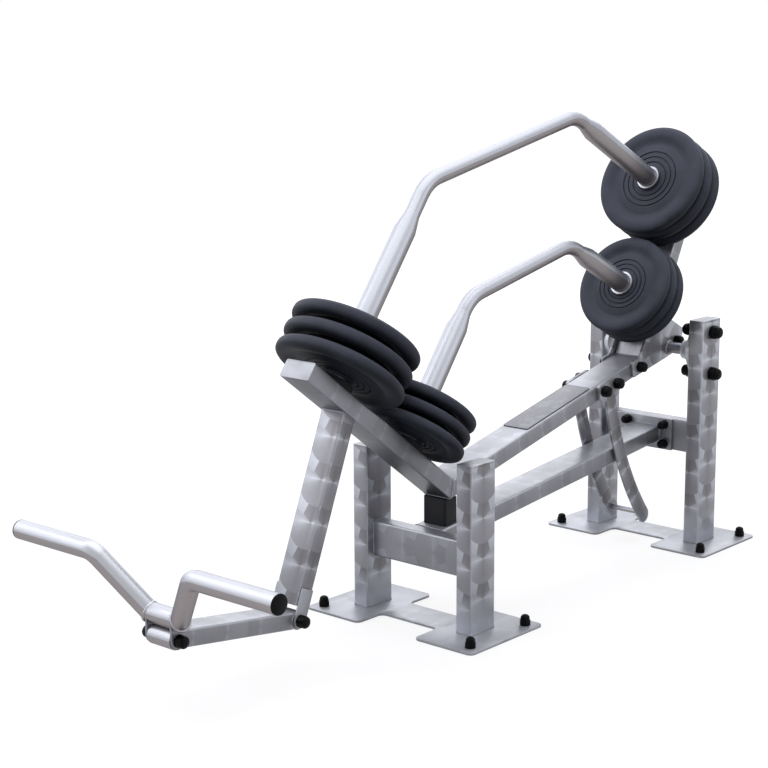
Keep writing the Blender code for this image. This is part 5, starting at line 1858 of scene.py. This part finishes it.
@dataclass
class DiscStacks(Assembly):
    """Four stacks of three rubber discs, each on a buffer ring.

    The collar's places lie beyond the bush, its heights from the hub's top or the valley's floor. Those of
    the face are shares of the radius.
    """

    tubes: WeightTubes
    upper: DiscSizes = DiscSizes(0.177, 0.0512, 0.036, 0.024)
    lower: DiscSizes = DiscSizes(0.155, 0.0430, 0.031, 0.021)
    bore: float = 0.0307
    bush: float = 0.0370
    bush_edge: float = 0.0005
    hub_gap: float = 0.0035
    collar: tuple = ((-0.0006, 0.0), (0.0018, 0.0), (0.0030, -0.0014))
    collar_foot: tuple = ((0.0034, 0.0030), (0.0060, 0.0015))
    grooves: tuple[float, float, float] = (0.32, 0.415, 0.51)
    groove: tuple = ((-0.0022, 0.0015), (-0.0016, -0.0020), (0.0016, -0.0020), (0.0022, 0.0015))
    face_edge: tuple = ((0.54, 0.0014), (0.565, 0.0006))
    dish: tuple[float, float] = (0.59, 0.08)
    slope: tuple[float, float] = (0.67, 0.19)
    shoulder: float = 0.87
    cheek: float = 0.12
    cheek_power: float = 0.72
    dish_lip: float = 0.0024
    dip: float = 0.0030
    disc_turn: float = 0.7
    buffer_radius: float = 0.049
    buffer_thickness: float = 0.018
    buffer_clearance: float = 0.0004
    steps: int = 96

    def build(self) -> None:
        """Make the stacks on both tubes."""
        down, tubes = self.layout.riser_back, self.tubes
        for level, size, tube in (("upper", self.upper, tubes.upper), ("lower", self.lower, tubes.lower)):
            disc = self.disc(size)
            bush = self.bush_ring(size)
            self.stack(f"front_{level}", tube.foot, self.layout.over, size, disc, bush)
            self.stack(f"rear_{level}", tube.end, -down, size, disc, bush)
            discard(disc)
            discard(bush)

    def disc(self, size: DiscSizes) -> Object:
        """A disc with a full rounded rim, a shallow valley and three fine grooves.

        Args:
            size: the disc's sizes.

        Returns:
            The disc on the bench, its middle at the origin.
        """
        radius, rim, valley = size.radius, size.rim / 2, size.valley / 2
        hub = size.pitch / 2 - self.hub_gap
        half = [(self.bush + out, hub + rise) for out, rise in self.collar]
        half += [(self.bush + out, valley + rise) for out, rise in self.collar_foot]
        for share in self.grooves:
            half += [(radius * share + out, valley + rise) for out, rise in self.groove]
        half += [(radius * share, valley + rise) for share, rise in self.face_edge]
        low = valley - self.dip
        start, run = self.dish
        for step in range(9):
            share = step / 8
            lip = self.dish_lip * math.cos(share * math.pi / 2) ** 2
            half.append((radius * (start + run * share), low + lip))
        start, run = self.slope
        for step in range(1, 8):
            share = step / 8
            rise = (rim - low) * math.sin(share * math.pi / 2) ** 2
            half.append((radius * (start + run * share), low + rise))
        half.append((radius * self.shoulder, rim))
        cheek = radius * self.cheek
        for step in range(1, 10):
            turn = step / 9 * math.pi / 2
            half.append((radius - cheek + cheek * math.sin(turn), rim * math.cos(turn) ** self.cheek_power))
        half[-1] = (radius, 0.0)
        profile = half + [(r, -z) for r, z in reversed(half[:-1])]
        return turned("disc_pattern", self.steps, profile, True)

    def bush_ring(self, size: DiscSizes) -> Object:
        """The steel bush in a disc's middle.

        Args:
            size: the disc's sizes.

        Returns:
            The bush on the bench.
        """
        half = size.pitch / 2 - GAP / 2
        wall = chamfered(self.bush, -half, half, self.bush_edge)
        bore = chamfered(self.bore, -half, half, -self.bush_edge)
        return turned("bush_pattern", 64, bore[2:] + wall[::-1] + bore[:2], True)

    def stack(self, name: str, base: Vector, along: Vector, size: DiscSizes, disc: Object,
              bush: Object) -> None:
        """A buffer ring and three discs along a tube.

        Args:
            name: the stack's name.
            base: where the stack starts.
            along: unit direction of the stack.
            size: the discs' sizes.
            disc: the pattern disc.
            bush: the pattern bush.
        """
        inner = self.tubes.thick + self.buffer_clearance
        low, high = GAP, self.buffer_thickness - GAP
        wall = chamfered(self.buffer_radius, low, high, edge=0.002)
        ring = turned(f"{name}_buffer", 48, [(inner, low), *wall, (inner, high)], True)
        put(ring, member_frame(base, along))
        hand_over(ring, self.finishes.buffer, "lever", Slot.BUFFER, f"{name}_buffer")
        for number in range(1, 4):
            middle = base + along * (self.buffer_thickness + size.pitch * (number - 0.5))
            spin = Matrix.Rotation(self.disc_turn * number, 4, "Z")
            place = member_frame(middle, along) @ spin
            body = f"{name}_{number}"
            piece = copy_of(disc, f"{name}_disc_{number}", place)
            hand_over(piece, self.finishes.disc, body, Slot.DISC, f"{name}_disc_{number}")
            ring = copy_of(bush, f"{name}_disc_{number}_bush", place)
            hand_over(ring, self.finishes.tube, body, Slot.TUBE)


@dataclass
class Link(Assembly):
    """The link between hanger and handle, with a pivot tube at each end."""

    half_width: float = 0.0396
    depth: float = 0.0454
    root: float = 0.0145
    pivot_radius: float = 0.02415
    side_step: float = 0.0005
    vent: float = 0.005
    vent_depth: float = 0.01

    def build(self) -> None:
        """Make the link's bar and the pivot tubes welded to its ends."""
        layout = self.layout
        place = member_frame(layout.pivot, layout.link_along)
        size = (2 * (self.half_width - self.side_step), self.depth)
        piece = bar("link", *size, self.root, layout.link_length - self.root)
        profile = chamfered(self.pivot_radius, -self.half_width, self.half_width, edge=0.0012)
        for label, height in (("rear", 0.0), ("front", layout.link_length)):
            tube = turned(f"link_{label}_pivot_tube", 48, profile)
            put(tube, place @ Matrix.Translation((0.0, 0.0, height)) @ ALONG_X)
            hand_over(tube, self.finishes.grip, "link", Slot.TUBE)
        tool = turned("vent_tool", 24, [(self.vent, -self.vent_depth), (self.vent, self.vent_depth)])
        put(tool, Matrix.Translation((0.0, -self.depth / 2, layout.link_length / 2))
            @ Matrix.Rotation(math.pi / 2, 4, "X"))
        combine(piece, tool, "DIFFERENCE")
        mark_corner_highlight(piece, *size)
        lay_grain(piece, Grain(PHASES["link"]))
        put(piece, place)
        hand_over(piece, self.finishes.level, "link", Slot.STEEL, "link")


@dataclass
class Handle(Assembly):
    """The pull handle: a sleeve, two bent arms with grips, two ears and the pivot bolt."""

    radius: float = 0.02415
    sleeve_half: float = 0.0533
    bend_x: float = 0.1725
    bend: float = 0.045
    grip_end: float = 0.4505
    stub: float = 0.05
    weld_inset: float = 0.0022
    weld_radius: float = 0.0052
    plug: float = 0.005
    plug_edge: float = 0.0022
    plug_stem: float = 0.018
    ear_width: float = 0.044
    ear_inner: float = 0.0403
    ear_thickness: float = 0.006

    def build(self) -> None:
        """Make every piece of the handle."""
        sleeve, grip = self.layout.sleeve, self.layout.grip
        pieces, mitres = [], []
        for label, side in SIDES:
            joint = sleeve + ACROSS * (side * self.sleeve_half)
            corner = grip + ACROSS * (side * self.bend_x)
            tip = grip + ACROSS * (side * (self.grip_end - self.plug))
            along = (corner - joint).normalized()
            outward = ACROSS * side
            points = [joint - along * self.stub]
            points += arc(corner, -along, outward, self.bend, 14)
            points.append(tip)
            arm = pipe(f"{label}_handle_arm", points, [self.radius] * len(points), False, 12)
            normal = (along + outward).normalized()
            cut(arm, joint, -normal)
            pieces.append(arm)
            mitres.append((joint, normal))
            loop = ring_loop(joint, outward, self.radius - self.weld_inset, normal)
            bead = pipe(f"{label}_sleeve_weld", loop, [self.weld_radius] * len(loop), True, 5)
            hand_over(bead, self.finishes.grip, "handle", Slot.TUBE)
        half = self.sleeve_half + self.stub
        middle = pipe("handle_bar", [sleeve - ACROSS * half, sleeve, sleeve + ACROSS * half],
                      [self.radius] * 3, False, 12)
        for joint, normal in mitres:
            cut(middle, joint, normal)
        whole = joined("handle_bar", [middle, *pieces])
        hand_over(whole, self.finishes.grip, "handle", Slot.TUBE, "handle_bar")
        self.ears()
        self.plugs()

    def ears(self) -> None:
        """The two ears that fork round the link's pivot tube."""
        pivot, sleeve = self.layout.handle_pivot, self.layout.sleeve
        half = self.ear_width / 2
        saddle = self.radius + GAP
        open_angle = math.asin(half / saddle)
        outline = spokes(pivot, half, math.pi, math.pi, 24)
        outline += spokes(sleeve, saddle, open_angle - math.pi / 2, -2 * open_angle, 16)
        outer = self.ear_inner + self.ear_thickness
        for label, side in SIDES:
            name = f"handle_{label}_ear"
            piece = upright_plate(name, outline, (self.ear_inner, outer), side, 0.0, END_ROUND,
                                  Grain(PHASES["handle_ear"], side_shift=0.93), True)
            hand_over(piece, self.finishes.level, "handle", Slot.STEEL, name)
        seat = outer + GAP
        self.caps.through_bolt("handle_pivot_bolt", SMALL_CAP, -seat, seat, pivot, "handle", twist=0.1)

    def plugs(self) -> None:
        """The plastic plugs that close the grips."""
        face, stem, edge = self.grip_end - self.plug + GAP, self.plug_stem, self.plug_edge
        profile = [(stem, face - stem), (stem, face), (self.radius, face),
                   (self.radius, self.grip_end - edge),
                   (self.radius - edge * 0.3, self.grip_end - edge * 0.3),
                   (self.radius - edge, self.grip_end)]
        pattern = turned("plug_pattern", 48, profile)
        for label, side in SIDES:
            turn = ALONG_X if side > 0 else ALONG_X.inverted()
            plug = copy_of(pattern, f"{label}_grip_plug", Matrix.Translation(self.layout.grip) @ turn)
            hand_over(plug, self.finishes.cap, "handle", Slot.CAP, f"{label}_grip_plug")
        discard(pattern)


@dataclass
class Lamp:
    """A softbox: where it stands, its size and its radiance."""

    name: str
    place: tuple[float, float, float]
    size: tuple[float, float]
    radiance: float
    colour: str = "#FBFCFF"


@dataclass
class Studio:
    """Floor, world, softboxes and the camera at the photograph's angle."""

    target: Vector = field(default_factory=lambda: Vector((0.0, 0.35, 0.65)))
    eye: Vector = field(default_factory=lambda: Vector((2.97297, -3.48872, 1.56558)))
    azimuth: float = math.radians(40.881)
    elevation: float = math.radians(10.977)
    roll: float = math.radians(-0.141)
    lens: float = 81.59
    shift: tuple[float, float] = (-0.0331, -0.0098)
    floor_size: float = 60.0
    floor_colour: str = "#8A8A8C"
    floor_glow: tuple[float, float, float, float] = (1.6, 6.0, 0.74, 1.0)
    clip: tuple[float, float] = (0.05, 200.0)
    world_light: float = 0.55

    def build(self) -> None:
        """Set the stage."""
        bpy.context.scene.view_settings.view_transform = "Standard"
        self.world()
        self.floor()
        self.lamps()
        self.camera()

    def seen_directly(self, tree: NodeTree) -> Node:
        """1 for camera, glossy and transmission rays, which show the white background, else 0."""
        path = add_node(tree, "LightPath")
        seen = add_node(tree, "Math", {"operation": "MAXIMUM"},
                        (path.outputs["Is Camera Ray"], path.outputs["Is Glossy Ray"]))
        return add_node(tree, "Math", {"operation": "MAXIMUM"}, (seen, path.outputs["Is Transmission Ray"]))

    def world(self) -> None:
        """A white background and a soft even light."""
        world = bpy.data.worlds.new("studio")
        world.use_nodes = True
        tree = world.node_tree
        tree.nodes.clear()
        seen = self.seen_directly(tree)
        strength = add_node(tree, "Math", MULTIPLY_ADD, (seen, 1.0 - self.world_light, self.world_light))
        light = add_node(tree, "Background", None, (linear("#FFFFFF"), strength))
        add_node(tree, "OutputWorld", None, {"Surface": light})
        bpy.context.scene.world = world

    def floor(self) -> None:
        """A floor that looks white, keeps the shadow and grows into the white background."""
        deselect()
        bpy.ops.mesh.primitive_plane_add(size=self.floor_size)
        floor = named("studio_floor")
        material, tree = new_material("studio_floor_paper")
        place = add_node(tree, "TexCoord").outputs["Object"]
        away = add_node(tree, "VectorMath", {"operation": "LENGTH"}, (place,)).outputs["Value"]
        glow = add_node(tree, "MapRange", None, (away, *self.floor_glow))
        glow = add_node(tree, "Math", MULTIPLY, (self.seen_directly(tree), glow))
        paper = add_node(tree, "BsdfDiffuse", None, {"Color": linear(self.floor_colour)})
        glow = add_node(tree, "Emission", None, {"Strength": glow})
        both = add_node(tree, "AddShader", None, (paper, glow))
        add_node(tree, "OutputMaterial", None, {"Surface": both})
        floor.data.materials.append(material)

    def lamps(self) -> None:
        """Softboxes above and round the machine."""
        boxes = [Lamp("top", (0.0, 0.4, 4.4), (6.4, 6.4), 1.4),
                 Lamp("back", (-2.4, 5.0, 3.3), (5.4, 3.6), 1.35),
                 Lamp("left", (-5.2, 0.6, 2.6), (5.6, 3.2), 1.3),
                 Lamp("front_left", (-3.5, -3.7, 2.4), (3.4, 3.0), 1.3),
                 Lamp("high_left", (-2.9, -2.5, 3.7), (1.7, 1.7), 2.8),
                 Lamp("right", (4.8, 2.0, 2.2), (3.6, 3.0), 0.9)]
        for box in boxes:
            deselect()
            bpy.ops.object.light_add(type="AREA", location=box.place)
            lamp = bpy.context.active_object
            lamp.name = f"softbox_{box.name}"
            lamp.data.shape = "RECTANGLE"
            lamp.data.size, lamp.data.size_y = box.size
            lamp.data.energy = box.radiance * math.pi * box.size[0] * box.size[1]
            lamp.data.color = linear(box.colour)[:3]
            lamp.rotation_euler = (self.target - Vector(box.place)).to_track_quat("-Z", "Y").to_euler()
            lamp.visible_camera = False

    def camera(self) -> None:
        """The camera at the photograph's viewing angle."""
        deselect()
        bpy.ops.object.camera_add(location=self.eye)
        camera = bpy.context.active_object
        back = Vector((math.sin(self.azimuth) * math.cos(self.elevation),
                       -math.cos(self.azimuth) * math.cos(self.elevation), math.sin(self.elevation)))
        right = Vector((math.cos(self.azimuth), math.sin(self.azimuth), 0.0))
        up = back.cross(right)
        turned_right = right * math.cos(self.roll) + up * math.sin(self.roll)
        turned_up = back.cross(turned_right)
        camera.matrix_world = (Matrix.Translation(self.eye)
                               @ Matrix((turned_right, turned_up, back)).transposed().to_4x4())
        camera.data.lens = self.lens
        camera.data.sensor_width = 36.0
        camera.data.shift_x, camera.data.shift_y = self.shift
        camera.data.clip_start, camera.data.clip_end = self.clip
        bpy.context.scene.camera = camera


def main() -> None:
    """Build every sub-assembly in order and report each piece."""
    logging.basicConfig(level=logging.INFO, format="%(message)s")
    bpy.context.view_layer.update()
    finishes = Finishes()
    shared = (Layout(), finishes, BoltCaps(finishes), WeldSeams(finishes))
    tubes = WeightTubes(*shared)
    Studio().build()
    for assembly in (BaseFrame(*shared), Bearings(*shared), Lever(*shared), Hanger(*shared),
                     StopHoop(*shared), InfoPlate(*shared), tubes, DiscStacks(*shared, tubes),
                     Link(*shared), Handle(*shared)):
        assembly.build()
    deselect()


if __name__ == "__main__":
    main()
